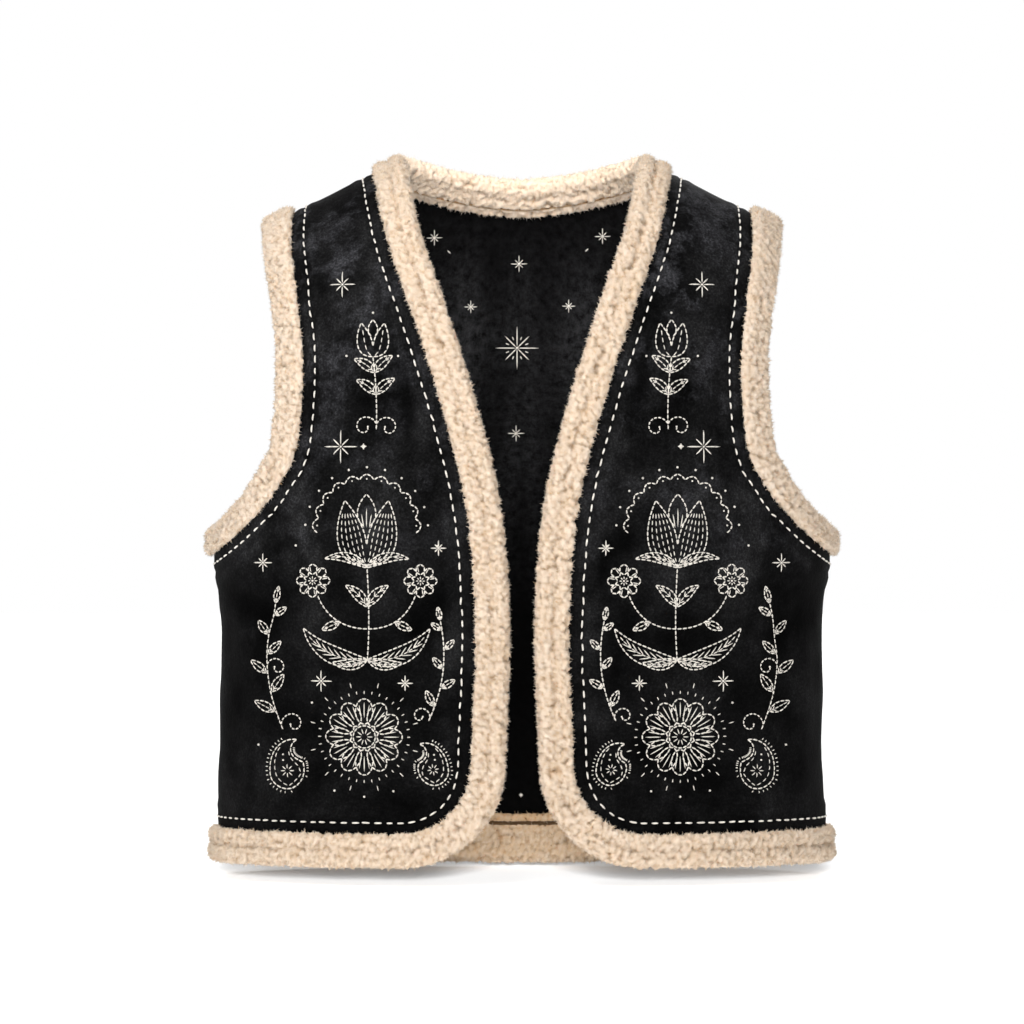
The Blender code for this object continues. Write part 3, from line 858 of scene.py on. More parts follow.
def suede_material(settings):
    """Black suede: a mottled nap in soft patches, paler towards the shoulders as painted sheen, and a fine
    grain.
    """
    material, tree, surface = principled("suede", rough=0.90, sheen=0.010, sheen_rough=0.40, specular=0.03)
    place = add_node(tree, "ShaderNodeTexCoord").outputs["Object"]
    dark = tuple(settings.suede_color)
    patches = noise(tree, place, 26, 5, 0.65)
    nap = ramp(tree, patches, (0.34, toned(dark, 0.25)), (0.50, dark), (0.66, toned(dark, 2.4)))
    clouds = share_between(tree, noise(tree, place, 34, 6, 0.70), 0.50, 0.66)
    # Paler patches of the nap that grow towards the shoulders as painted sheen from the light above
    bloom_and_sheen = multiplied(tree, clouds, height_share(tree, place, -0.30, -0.02))
    color = mixed_color(tree, bloom_and_sheen, nap, settings.bloom_and_sheen_color)
    speck = ramp(tree, noise(tree, place, 620, 4, 0.75), *greys(SPECKS))
    # Painted shade by height: darker towards the hem, where less light falls from above
    shade = ramp(tree, height_share(tree, place, -0.47, -0.05), *greys(SUEDE_SHADE))
    for dimmer in (speck, shade):
        color = multiplied(tree, color, dimmer, "ShaderNodeVectorMath")
    # Painted light on the folds' ridges and painted shade in their troughs and the seams' grooves
    tree.links.new(fold_shaded(tree, color, 0.95), surface.inputs["Base Color"])
    slow = bump(tree, surface, noise(tree, place, 240, 4, 0.65), 0.55, 0.0010)
    bump(tree, surface, noise(tree, place, 1100, 2, 0.6), 0.6, 0.0004, slow)
    return material


def lining_material(settings):
    """Black lining: a fine plain weave on the cloth's map, with a faint slub, and painted shade blacker
    towards the hem.
    """
    material, tree, surface = principled("lining", rough=0.78, sheen=0.01, sheen_rough=0.4, specular=0.05)
    coordinates = add_node(tree, "ShaderNodeTexCoord")
    place = coordinates.outputs["UV"]
    threads = 1 / LINING_THREAD
    scaled = add_node(tree, "ShaderNodeMapping", [("Vector", place)], Scale=(threads, threads, 1))
    warp, weft = (bands(tree, scaled.outputs["Vector"], way, Scale=0.5, Distortion=0.3) for way in ("X", "Y"))
    weave = add_node(tree, "ShaderNodeMath", [(0, warp), (1, weft)], operation="MAXIMUM").outputs[0]
    slub = noise(tree, place, 160, 6, 0.8)
    dark = settings.lining_color
    woven = ramp(tree, slub, (0.36, toned(dark, 0.10)), (0.64, toned(dark, 2.5)))
    # Painted shade by height: nearly black towards the hem inside the vest, and darker under the neck's trim
    height = height_share(tree, coordinates.outputs["Object"], -0.44, -0.02)
    color = multiplied(tree, woven, ramp(tree, height, *greys(LINING_SHADE)), "ShaderNodeVectorMath")
    # Painted light on the lining folds' ridges and painted shade in their troughs
    tree.links.new(fold_shaded(tree, color, 0.85), surface.inputs["Base Color"])
    bump(tree, surface, weave, 0.5, 0.0002)
    return material


def shearling_material(settings):
    """Cream shearling: each lock's own tone, painted tan shade in the hollows, painted highlight at the tips,
    and a soft sheen.
    """
    material, tree, surface = principled("shearling", rough=0.92, sheen=0.12, sheen_rough=0.6, specular=0.12)
    surface.subsurface_method = "BURLEY"
    surface.inputs["Subsurface Weight"].default_value = 0.20
    surface.inputs["Subsurface Scale"].default_value = 0.0008
    surface.inputs["Subsurface Radius"].default_value = (1.0, 0.55, 0.30)
    tone = add_node(tree, "ShaderNodeAttribute", attribute_name="tone").outputs["Fac"]
    place = add_node(tree, "ShaderNodeTexCoord").outputs["Object"]
    clouded = scaled_sum(tree, noise(tree, place, 45, 3, 0.6), PILE_CLOUDS, tone)
    hollow = settings.hollow_shade_color
    # The tone runs from the painted shade of the hollows, through the wool's own pile colour, to the painted
    # highlight of the tips; the slot is darker still
    color = ramp(tree, clouded, (0.02, toned(hollow, SLOT_DARK)), (0.09, hollow),
                 (0.42, settings.pile_color), (0.95, settings.tip_highlight_color))
    tree.links.new(color, surface.inputs["Base Color"])
    bump(tree, surface, noise(tree, place, 1100, 2, 0.7), 0.5, 0.0006)
    return material


def thread_material(name, color):
    """Cotton thread: two twisted plies along the stitch's own map."""
    material, tree, surface = principled(name, rough=0.55, sheen=0.2, sheen_rough=0.4, specular=0.3)
    coordinates = add_node(tree, "ShaderNodeTexCoord")
    uneven = noise(tree, coordinates.outputs["Object"], 300, 2, 0.5)
    shade = ramp(tree, uneven, (0.3, toned(color, 0.72)), (0.65, color))
    tree.links.new(shade, surface.inputs["Base Color"])
    bump(tree, surface, bands(tree, coordinates.outputs["UV"], "DIAGONAL", Scale=1.0), 0.6, 0.0004)
    return material


# Cloth panels

# How far the cloth is raised where its painted light on the ridges is full, and sunk where its painted shade
# in the troughs is full
RAISED_FULL = 0.0022


def lay_cloth(face, side, places, lined):
    """The outer and inner skins of a panel on a grid of places, with its creases.

    Side flips a front from left to right. Returns the normals and how far each point is raised as well.
    """
    behind = 0.5 * SUEDE_THICKNESS + SEAM_GAP + 0.5 * LINING_THICKNESS if lined else 0.0
    thickness = LINING_THICKNESS if lined else SUEDE_THICKNESS
    flip = np.array([side if face == FRONT else 1, 1, 1])
    points = torso(face, places[..., 0], places[..., 1])
    normals = slopes_and_normal(face, places)[2]
    which = side if face == FRONT else np.sign(points[..., 0] + TINY)
    rise, raised = cloth_rise(face, which, points, lined)
    points, normals = points * flip, normals * flip
    middle = points + normals * (rise - behind)[..., None]
    return middle + normals * 0.5 * thickness, middle - normals * 0.5 * thickness, normals, raised


def cloth_map(places):
    """A flat map of the cloth in metres: how far round and how far down, the same for both skins."""
    flat = (places * (ROUND_SPAN, -1)).reshape(-1, 2)
    return np.concatenate([flat, flat])


def whole_back(step):
    """The back's whole grid: the half grid and its mirror image, sharing the middle column."""
    half = back_patch(step)
    mirrored = half[:, :0:-1] * (-1, 1)
    return np.concatenate([mirrored, half], axis=1)


def add_panel(name, face, side, places, material, lined=False):
    """A panel of cloth as a closed thin shell."""
    outer, inner, normals, raised = lay_cloth(face, side, places, lined)
    points, faces = shell(outer, inner, normals)
    # How far each point is raised, kept for the painted light on the ridges and painted shade in the troughs
    # and seam grooves
    nap = np.tile(np.clip(raised.ravel() / RAISED_FULL, -1, 1), 2)
    return new_piece(name, points, faces, material, [("raised", nap)], cloth_map(places))


# Trimmed edges, and the strip folded over them

PILE_STEP = 0.0014
DEPTHS = np.linspace(0, 0.030, 9)
LEAF = 0.0158
NECK_FACING = 0.0200
HEM_FACING = 0.0270
SINGLE_GAP = 0.5 * SUEDE_THICKNESS + SLOT_GAP
LINED_GAP = 0.5 * SUEDE_THICKNESS + SEAM_GAP + LINING_THICKNESS + SLOT_GAP

# Outer half of the strip's cross-section: distance in from the cloth's edge, height off the cloth. The parted
# rows dip to a parting, which an armhole's strip doesn't have.
CREST = np.array([
    (0.0162, 0.0014),
    (0.0166, 0.0030),
    (0.0152, 0.0050),
    (0.0118, 0.0060),
    (0.0084, 0.0055),
    (0.0056, 0.0046),
    (0.0028, 0.0056),
    (0.0000, 0.0060),
    (-0.0026, 0.0052),
    (-0.0046, 0.0030),
    (-0.0054, 0.0),
])
CREST_TOP = 0.0060
PARTED_ROWS = slice(4, 8)
PARTING_PLACE = (0.0056, 0.0046)
STRETCHED_FROM = 0.006
LEAF_CORNERS = 22
FACING_CORNERS = 30

# The lip along the inner border of a back strip: distance in from its groove, height off the cloth
LIP_WIDTH = 0.0046
FACING_DEPTH = -0.0062
LIP = np.array([
    (-0.0014, FACING_DEPTH),
    (-0.0003, -0.0030),
    (0.0004, -0.0030),
    (0.0014, -0.0048),
    (0.6 * LIP_WIDTH, -0.0046),
    (LIP_WIDTH + 0.0020, -0.0036),
])
LIP_BORDER = 0.0022
LIP_SPACE = 0.0030
GROOVE_WIDTH = 0.0014
GROOVE_FLOOR = -0.002
BORDER_FUR = 0.4


class Edge(NamedTuple):
    """A trimmed edge: rows of points at depths in from it, at even steps along it, and their normals."""

    points: np.ndarray
    normals: np.ndarray

    def flipped(self):
        """The same edge run the other way."""
        return Edge(*(values[:, ::-1] for values in self))

    def mirrored(self):
        """The same edge on the other side."""
        return Edge(*(values * (-1, 1, 1) for values in self))

    def joined(self, after, closed=False):
        """This edge and one that starts where it ends, with one section at each seam, the mean of the two."""
        made = []
        for mine, theirs in zip(self, after):
            seam = 0.5 * (mine[:, -1:] + theirs[:, :1])
            body = [mine[:, :-1], seam, theirs[:, 1:]]
            if closed:
                first = 0.5 * (mine[:, :1] + theirs[:, -1:])
                body = [first, mine[:, 1:-1], seam, theirs[:, 1:-1]]
            made.append(np.concatenate(body, axis=1))
        return Edge(*made)

    def at(self, depth, height):
        """Points at given depths and heights, one row for each section, straight between the depths."""
        depth = np.broadcast_to(depth, (self.points.shape[1], np.shape(depth)[-1]))
        cell = np.clip(np.searchsorted(DEPTHS, depth) - 1, 0, len(DEPTHS) - 2)
        share = ((depth - DEPTHS[cell]) / (DEPTHS[cell + 1] - DEPTHS[cell]))[..., None]
        row = np.arange(self.points.shape[1])[:, None]
        base = self.points[cell, row] * (1 - share) + self.points[cell + 1, row] * share
        part = np.clip(share, 0, 1)
        normal = unit(self.normals[cell, row] * (1 - part) + self.normals[cell + 1, row] * part)
        return base + normal * np.asarray(height)[..., None]


class Strip(NamedTuple):
    """A strip's edge and cut: its inner leaf's width, the cloth's gap inside it, and if it is a ring.

    A back strip has a lip, darker than the rest by a share of painted shade. Paler is a share of painted
    light on the whole strip, and of painted shade where it is below 0.
    """

    edge: Edge
    facing: float
    gap: float
    ring: bool = False
    lip: float | None = None
    paler: float = 0.0


def cut_edge(face, line, inward, squeeze=None):
    """The trimmed edge along a line, with its depths squeezed where that is asked."""
    base = evenly(face, line, PILE_STEP)
    scale = np.ones(len(base)) if squeeze is None else squeeze(torso(face, *base.T))
    rings = [base] + [inset(face, base, depth * scale, inward) for depth in DEPTHS[1:]]
    points = np.stack([torso(face, *ring.T) for ring in rings])
    return Edge(points, np.stack([slopes_and_normal(face, ring)[2] for ring in rings]))


def rounded(corners, count):
    """A line of count points through corners: a cubic curve by distance along it."""
    along = length_along(corners)
    at = np.linspace(0, along[-1], count)
    return np.stack([smooth(along, corners[:, 0], at), smooth(along, corners[:, 1], at)], axis=-1)


def inner_leaf(crest, strip):
    """Corners of the strip's inner half: the crest stretched to its facing, with a lip on a back strip."""
    corners = crest[::-1] * (1, -1)
    corners[:, 0] += np.where(corners[:, 0] > STRETCHED_FROM, strip.facing - LEAF, 0)
    if strip.lip is None:
        return corners
    groove = strip.facing - LIP_WIDTH
    corners[:, 1] = np.where(corners[:, 0] > -0.001, FACING_DEPTH, corners[:, 1])
    kept = corners[corners[:, 0] < groove - LIP_SPACE]
    return np.concatenate([kept, LIP + (groove, 0), [(strip.facing + LIP_BORDER, -strip.gap)]])


def strip_section(strip):
    """The strip's closed cross-section: outer leaf, inner leaf, and the slot for the cloth.

    Returns the places and how furry each is, from 0 in the slot to 1.
    """
    crest = CREST.copy()
    if strip.ring:
        crest[PARTED_ROWS, 1] = CREST_TOP
    outer = rounded(crest, LEAF_CORNERS)
    inner = rounded(inner_leaf(crest, strip), LEAF_CORNERS if strip.lip is None else FACING_CORNERS)[1:]
    slot = np.array([
        (strip.facing, -strip.gap),
        (0.5 * strip.facing, -strip.gap),
        (-SLOT_GAP, -strip.gap),
        (-SLOT_GAP, SINGLE_GAP),
        (0.5 * LEAF, SINGLE_GAP),
        (LEAF, SINGLE_GAP),
    ])
    places = np.concatenate([outer, inner, slot])
    furry = np.concatenate([np.ones(len(outer) + len(inner)), np.zeros(len(slot))])
    furry[0] = furry[len(outer) + len(inner) - 1] = BORDER_FUR
    if strip.lip is not None:
        from_groove = np.abs(places[:, 0] - (strip.facing - LIP_WIDTH))
        furry[(from_groove < GROOVE_WIDTH) & (places[:, 1] < GROOVE_FLOOR)] = 0.0
    return places, furry


# Locks of wool: jittered lattices of cells over the strip, each a dome, with smaller curls inside them

LOCK = (0.0040, 0.0052)
CURL = (0.0021, 0.0024)
JITTER = 0.85
SPARE_ROWS = 10
ROW_SHIFT = 4
FAR = 9.0

# The wool's relief: how far it rises, sinks and strays, and the lengths of its slow waves
LOCK_RISE = 0.0031
LOCK_LEVEL = 0.60
DOME_REACH = 0.80
HOLLOW_SPAN = 0.26
HOLLOW_DEPTH = 0.0007
PARTING_WIDTH = 0.0012
PARTING_DEPTH = 0.0009
PARTING_BREAK = 0.016
PARTING_EVEN = 0.60
PARTING_UNEVEN = 0.40
WANDER = 0.0011
WANDER_LENGTH = 0.024
WARP_LENGTHS = (0.011, 0.009)
FINE_RISE = 0.0004
FINE_LENGTH = 0.0045
END_SINK = 0.0016
END_RUN = 0.004

# Its tones, from 0 in the slot to 1 at the tips, with painted light and shade on the wool's relief
BODY_TONE = 0.50
# Painted highlight on the locks' domes, and painted shade in the hollows between them and in the partings
DOME_TONE = 0.20
HOLLOW_TONE = 0.14
SLOT_TONE = 0.60
LOCK_TONE = 0.035
# Painted highlight at the curls' middles and painted shade at their borders
CURL_TONE = 0.24
CURL_MIDDLE = 0.42
CURL_HOLLOW = 0.18
CURL_SPAN = 0.30
OWN_TONE = 0.07
# Painted shade at the fibres' roots and painted highlight at their tips
FIBRE_TONES = np.array([-0.16, -0.16, -0.16, 0.22])

# Its fibres, which stand up, draw together over their curl and lean with their lock
FIBRE_LENGTH = (0.0011, 0.0024)
FIBRE_WIDTH = 0.00066
FIBRE_SCATTER = 0.00035
FIBRE_SUNK = 0.0005
UPRIGHT = 0.85
DRAWN = 0.70
LEANING = 0.50
SWIRL = 0.6
HIDDEN_SHARE = 0.5


class Lattice:
    """Cells along and around a strip, each with a seeded centre, tone and swirl; a ring closes on itself."""

    def __init__(self, along, around, size, seed, closed):
        rng = np.random.default_rng(seed)
        self.count = max(3, int(round(along / size[0])))
        self.size = np.array([along / self.count, size[1]])
        self.closed = closed
        self.rows = int(around / size[1]) + SPARE_ROWS
        self.shift = 0.5 + JITTER * (rng.random((self.count + 4, self.rows, 2)) - 0.5)
        self.shift[:, ::2, 0] += 0.5
        self.tone = rng.normal(0, 1, (self.count + 4, self.rows))
        self.swirl = rng.uniform(0, tau, (self.count + 4, self.rows))

    def find(self, place):
        """The two nearest centres' distances in cells, and the nearest one's tone, swirl and way from it."""
        scaled = place / self.size
        cell = np.floor(scaled).astype(int)
        first = np.full(place.shape[:-1], FAR)
        second = first.copy()
        tone, swirl = np.zeros_like(first), np.zeros_like(first)
        away = np.zeros(place.shape)
        for di in (-1, 0, 1):
            for dj in (-1, 0, 1):
                i, j = cell[..., 0] + di, cell[..., 1] + dj
                column = i % self.count if self.closed else np.clip(i + 1, 0, self.count + 3)
                row = np.clip(j + ROW_SHIFT, 0, self.rows - 1)
                offset = scaled - np.stack([i, j], axis=-1) - self.shift[column, row]
                far = np.linalg.norm(offset, axis=-1)
                nearer = far < first
                second = np.where(nearer, first, np.minimum(second, far))
                first = np.where(nearer, far, first)
                tone = np.where(nearer, self.tone[column, row], tone)
                swirl = np.where(nearer, self.swirl[column, row], swirl)
                away = np.where(nearer[..., None], offset, away)
        return first, second, tone, swirl, away * self.size


def ring_out(places):
    """Outward directions of a closed cross-section: its slope turned a quarter round."""
    slope = np.roll(places, -1, axis=0) - np.roll(places, 1, axis=0)
    out = unit(np.stack([-slope[:, 1], slope[:, 0]], axis=-1))
    turned = np.sum(places[:, 0] * np.roll(places[:, 1], -1) - np.roll(places[:, 0], -1) * places[:, 1])
    return out if turned < 0 else -out


def dome_and_hollow(near, following):
    """A lock's dome by the distance from its centre, and the hollow where two locks meet."""
    return np.sqrt(np.clip(1 - (near / DOME_REACH) ** 2, 0, 1)), 1 - ease(0.0, HOLLOW_SPAN, following - near)


def fleece(strip, places, points, place, total, seed):
    """The wool's relief and tone, with each point's swirl and its way from its lock's centre.

    There is a dome for each lock, with hollows between them, and a parting along each leaf that is parted.
    """
    around = place[0, :, 1]
    depth, height = PARTING_PLACE
    leaves = (1,) if strip.lip is not None else (1, -1)
    partings = [around[np.argmin(np.hypot(*(places - (depth, way * height)).T))] for way in leaves]
    warp = [waves(points, length, seed + 3 + k) for k, length in enumerate(WARP_LENGTHS)]
    warped = place + WANDER * np.stack(warp, axis=-1)
    warped[..., 1] += -partings[0] + ROW_SHIFT * LOCK[1]
    locks = Lattice(total, around[-1], LOCK, seed + 1, strip.ring)
    near, following, tone, swirl, away = locks.find(warped)
    dome, hollow = dome_and_hollow(near, following)
    wander = warped[..., 1] + WANDER * waves(points, WANDER_LENGTH, seed + 5)
    nearest = np.min([np.abs(wander - (at - partings[0] + ROW_SHIFT * LOCK[1])) for at in partings], axis=0)
    broken = PARTING_EVEN + PARTING_UNEVEN * waves(points, PARTING_BREAK, seed + 6)
    parting = np.exp(-(nearest / PARTING_WIDTH) ** 2) * broken * (not strip.ring)
    rise = LOCK_RISE * (dome - LOCK_LEVEL) - HOLLOW_DEPTH * hollow - PARTING_DEPTH * parting
    rise = rise + FINE_RISE * waves(points, FINE_LENGTH, seed + 2)
    # Painted highlight on the domes and painted shade in the hollows and partings, over each lock's own
    # random tone
    tones = BODY_TONE + DOME_TONE * (dome - 0.5) - HOLLOW_TONE * (hollow + parting) + LOCK_TONE * tone
    return rise, tones, swirl, away


def strip_places(points, places, ring):
    """Each point's distance along the strip and round its section, and the strip's whole length."""
    centre = points[:, len(places) // 4]
    along = length_along(centre)
    total = along[-1] + (np.linalg.norm(centre[0] - centre[-1]) if ring else 0)
    return np.stack(np.broadcast_arrays(along[:, None], length_along(places)[None, :]), axis=-1), total


def tube(points, tones, ring):
    """The strip's skin as points, faces and tones, closed at its ends, and the grid's outward normals."""
    normals = surface_normals(points, ring)
    faces = [grid_faces(*points.shape[:2], closed_rows=ring, closed_columns=True)]
    outwards = np.sum(normals * (points - points.mean(axis=1, keepdims=True))) > 0
    if not outwards:
        normals = -normals
        faces = [part[:, ::-1] for part in faces]
    flat, shades = points.reshape(-1, 3), tones.ravel()
    if not ring:
        caps, cap_points, cap_tones = end_caps(points, tones, outwards)
        faces += caps
        flat = np.concatenate([flat, cap_points])
        shades = np.concatenate([shades, cap_tones])
    return flat, faces, shades, normals


def add_strip(name, strip, seed, material, density):
    """A shearling strip: its section carried along the edge, swollen into locks and covered in fibres."""
    lipped = strip.lip is not None
    rng = np.random.default_rng(seed)
    places, furry = strip_section(strip)
    points = strip.edge.at(places[:, 0], places[:, 1])
    place, total = strip_places(points, places, strip.ring)
    rise, tones, swirl, away = fleece(strip, places, points, place, total, seed)
    rise = rise * furry
    # The whole strip's painted light, painted shade where paler is below 0, and the dark slot
    tones = tones + strip.paler - SLOT_TONE * (1 - furry)
    if lipped:
        # Painted shade on the lip, under the lining's edge
        tones = tones - strip.lip * ((places[:, 0] > strip.facing - LIP_WIDTH) & (places[:, 1] < 0))
    if not strip.ring:
        from_end = np.minimum(place[:, :1, 0], total - place[:, :1, 0])
        rise = rise - END_SINK * (1 - ease(0, END_RUN, from_end)) * furry
    out = ring_out(places)
    points = strip.edge.at(places[:, 0] + rise * out[:, 0], places[:, 1] + rise * out[:, 1])
    flat, faces, shades, normals = tube(points, tones, strip.ring)
    hidden = (places[:, 1] < 0) != lipped
    roots = Roots(rng, points, furry * np.where(hidden, HIDDEN_SHARE, 1), density, strip.ring)
    curls = Lattice(total, place[0, -1, 1], CURL, seed + 7, strip.ring).find(roots.mixed(place))
    lean = roots.across(away) + SWIRL * LOCK[0] * roots.turned(swirl)
    hairs, hair_faces, hair_tones = fibres(rng, roots, unit(roots.mixed(normals)), unit(lean), curls,
                                           roots.mixed(tones[..., None])[:, 0])
    return new_piece(name, np.concatenate([flat, hairs]), faces + [hair_faces + len(flat)], material,
                     [("tone", np.concatenate([shades, hair_tones]))])


def surface_normals(points, closed):
    """Normals of a grid of points, from its slopes both ways; the second way is closed."""
    if closed:
        by_row = np.roll(points, -1, axis=0) - np.roll(points, 1, axis=0)
    else:
        by_row = np.gradient(points, axis=0)
    by_column = np.roll(points, -1, axis=1) - np.roll(points, 1, axis=1)
    return unit(np.cross(by_row, by_column))


def end_caps(points, tones, outwards):
    """Fans that close both ends of a tube of sections, each round a point at its middle, a little proud."""
    count, size = points.shape[:2]
    total = count * size
    middle = points.mean(axis=1)
    tips = np.stack([middle[0] + (middle[0] - middle[1]), middle[-1] + (middle[-1] - middle[-2])])
    here = np.arange(size)
    after = (here + 1) % size
    first = np.stack([after, here, np.full(size, total)], axis=-1)
    last = np.stack([here + total - size, after + total - size, np.full(size, total + 1)], axis=-1)
    caps = [first, last] if outwards else [first[:, ::-1], last[:, ::-1]]
    return caps, tips, np.array([tones[0].mean(), tones[-1].mean()])


class Roots:
    """Random roots over a strip's furry part, picked by area, with values mixed from the corners."""

    def __init__(self, rng, points, furry, density, closed):
        rows = points.shape[0] if closed else points.shape[0] - 1
        self.after_row = (np.arange(rows) + 1) % points.shape[0]
        self.after_column = (np.arange(points.shape[1]) + 1) % points.shape[1]
        here = points[:rows]
        normals = np.cross(here[:, self.after_column] - here, points[self.after_row] - here)
        areas = np.linalg.norm(normals, axis=-1) * np.minimum(furry, furry[self.after_column])
        self.count = int(areas.sum() * 1e4 * density)
        pick = np.searchsorted(np.cumsum(areas.ravel()), rng.random(self.count) * areas.sum())
        self.i, self.j = np.divmod(np.clip(pick, 0, areas.size - 1), points.shape[1])
        self.u, self.v = rng.random((2, self.count, 1))
        self.points = self.mixed(points)
        self.by_row = unit(points[self.after_row[self.i], self.j] - points[self.i, self.j])
        self.by_column = unit(points[self.i, self.after_column[self.j]] - points[self.i, self.j])

    def mixed(self, values):
        """Values at the roots, mixed from the four corners of their cells."""
        i, j, after_i, after_j = self.i, self.j, self.after_row[self.i], self.after_column[self.j]
        near = values[i, j] * (1 - self.v) + values[i, after_j] * self.v
        far = values[after_i, j] * (1 - self.v) + values[after_i, after_j] * self.v
        return near * (1 - self.u) + far * self.u

    def laid(self, flat):
        """Steps along and around the strip as steps in space."""
        return self.by_row * flat[:, :1] + self.by_column * flat[:, 1:]

    def across(self, away):
        """A grid's steps along and around it, as steps in space at the roots."""
        return self.laid(away[self.i, self.j])

    def turned(self, angles):
        """Level directions at the roots, from a grid of angles."""
        turn = angles[self.i, self.j][:, None]
        return self.laid(np.concatenate([np.cos(turn), np.sin(turn)], axis=1))


def fibres(rng, roots, normals, lean, curls, tones):
    """Three-sided cones, one at each root, whose tips draw together over the middle of their curl."""
    near, following, curl_tone, _, away = curls
    # Painted highlight at the middle of each fibre's curl and painted shade at its border
    curled = CURL_TONE * (CURL_MIDDLE - near) - CURL_HOLLOW * (1 - ease(0.0, CURL_SPAN, following - near))
    count = roots.count
    long = rng.uniform(*FIBRE_LENGTH, (count, 1))
    random = unit(rng.normal(size=(count, 3)))
    tips = roots.points + normals * long * UPRIGHT - roots.laid(away) * DRAWN + lean * long * LEANING
    tips = tips + random * FIBRE_SCATTER
    start = roots.points - normals * FIBRE_SUNK
    along = unit(tips - start)
    side = unit(np.cross(along, unit(rng.normal(size=(count, 3)))))
    other = np.cross(along, side)
    angle = np.array([0, tau / 3, 2 * tau / 3])
    ring = side[:, None] * np.cos(angle)[:, None] + other[:, None] * np.sin(angle)[:, None]
    base = start[:, None] + ring * (0.5 * FIBRE_WIDTH)
    points = np.concatenate([base, tips[:, None]], axis=1).reshape(-1, 3)
    pattern = np.array([(0, 1, 3), (1, 2, 3), (2, 0, 3)])
    faces = (pattern[None] + 4 * np.arange(count)[:, None, None]).reshape(-1, 3)
    # Each fibre's own random tone, with its curl's painted light and shade; FIBRE_TONES adds painted shade at
    # its root and painted highlight at its tip
    own = tones[:, None] + (LOCK_TONE * curl_tone + curled)[:, None] + rng.normal(0, OWN_TONE, (count, 1))
    return points, faces, (own + FIBRE_TONES).ravel()


# Stitches

TWIST_LENGTH = 0.0012
TIP_SUNK = 0.2
STITCH_BULGE = 2.6
TOP_STITCH = 0.0055
TOP_WIDTH = 0.00130
TOP_LIFT = 0.0005
TOP_UNEVEN = (0.88, 1.1)
TOP_WANDER = 0.0002
TOP_SLANT = 0.00035


def stitch_faces(count, rings, sides):
    """Quads round each stitch's rings, and triangles that close its two ends."""
    size = rings * sides + 2
    quads = grid_faces(rings, sides, closed_columns=True)
    here = np.arange(sides)
    after = (here + 1) % sides
    last = (rings - 1) * sides
    low = np.stack([after, here, np.full(sides, size - 2)], axis=-1)
    high = np.stack([here + last, after + last, np.full(sides, size - 1)], axis=-1)
    shift = size * np.arange(count)[:, None, None]
    return [(part[:, ::-1][None] + shift).reshape(-1, part.shape[1]) for part in (quads, low, high)]


def stitch_map(t, angle, long):
    """A map along and round the thread: twists from the stitch's start, and share of the way round it."""
    u = np.append(np.repeat(t, len(angle)), [0, 1])
    v = np.append(np.tile(angle / tau, len(t)), [0, 0])
    return np.stack(np.broadcast_arrays(u[None] * long / TWIST_LENGTH, v[None]), axis=-1).reshape(-1, 2)


def stitches(starts, ends, normals, width, lift, rings, sides):
    """Plump stitches that rise out of the cloth and sink back: an arch of rings, closed at both ends.

    Each is a line from start to end lifted as a sine, its half width the root of a bulge. Returns points,
    faces and a map along and round the thread.
    """
    count = len(starts)
    t = np.linspace(0, 1, rings + 2)[1:-1]
    run = ends - starts
    along = unit(run)
    side = unit(np.cross(along, normals))
    up = np.cross(side, along)
    arch = np.sin(pi * t)
    wide = (1 - np.abs(2 * t - 1) ** STITCH_BULGE) ** 0.5
    lift = np.broadcast_to(lift, (count,))[:, None, None]
    centre = starts[:, None] + run[:, None] * t[None, :, None] + up[:, None] * (arch[None, :, None] * lift)
    angle = np.linspace(0, tau, sides, endpoint=False)
    ring = side[:, None] * np.cos(angle)[:, None] + up[:, None] * np.sin(angle)[:, None]
    width = np.broadcast_to(width, (count,))[:, None, None, None]
    body = centre[:, :, None] + ring[:, None] * (0.5 * width) * wide[None, :, None, None]
    tips = np.stack([starts, ends], axis=1) - up[:, None] * (TIP_SUNK * width[:, 0])
    points = np.concatenate([body.reshape(count, -1, 3), tips], axis=1)
    plies = stitch_map(t, angle, np.linalg.norm(run, axis=1)[:, None])
    return points.reshape(-1, 3), stitch_faces(count, rings, sides), plies


def joined(parts):
    """Several (points, faces, map) made into one."""
    points, quads, tris, maps = [], [], [], []
    start = 0
    for spots, faces, plies in parts:
        points.append(spots)
        maps.append(plies)
        quads.append(faces[0] + start)
        tris += [part + start for part in faces[1:]]
        start += len(spots)
    return np.concatenate(points), [np.concatenate(quads), np.concatenate(tris)], np.concatenate(maps)


def top_stitches(face, side, line, inward, skin, squeeze=None):
    """Running stitches along a line inset from a trimmed edge, each a little uneven in length and slant."""
    base = evenly(face, line, PILE_STEP)
    points = torso(face, *base.T)
    scale = np.ones(len(base)) if squeeze is None else squeeze(points)
    places = inset(face, base, stitch_inset(points[:, 2]) * scale, inward)
    along = length_along(torso(face, *places.T))
    count = int(along[-1] / TOP_PITCH)
    rng = np.random.default_rng(int(100 * along[-1]) + int(side) + 5)
    middle = (np.arange(count) + 0.5) * (along[-1] / count) + rng.normal(0, TOP_WANDER, count)
    half = 0.5 * TOP_STITCH * rng.uniform(*TOP_UNEVEN, count)
    starts, ends = (along_line(middle + way * half, along, places) for way in (-1, 1))
    ends[:, 0] += rng.normal(0, TOP_SLANT, count) / ROUND_SPAN
    return lift_stitches(face, side, starts, ends, TOP_WIDTH, TOP_LIFT, skin, rings=5, sides=6)


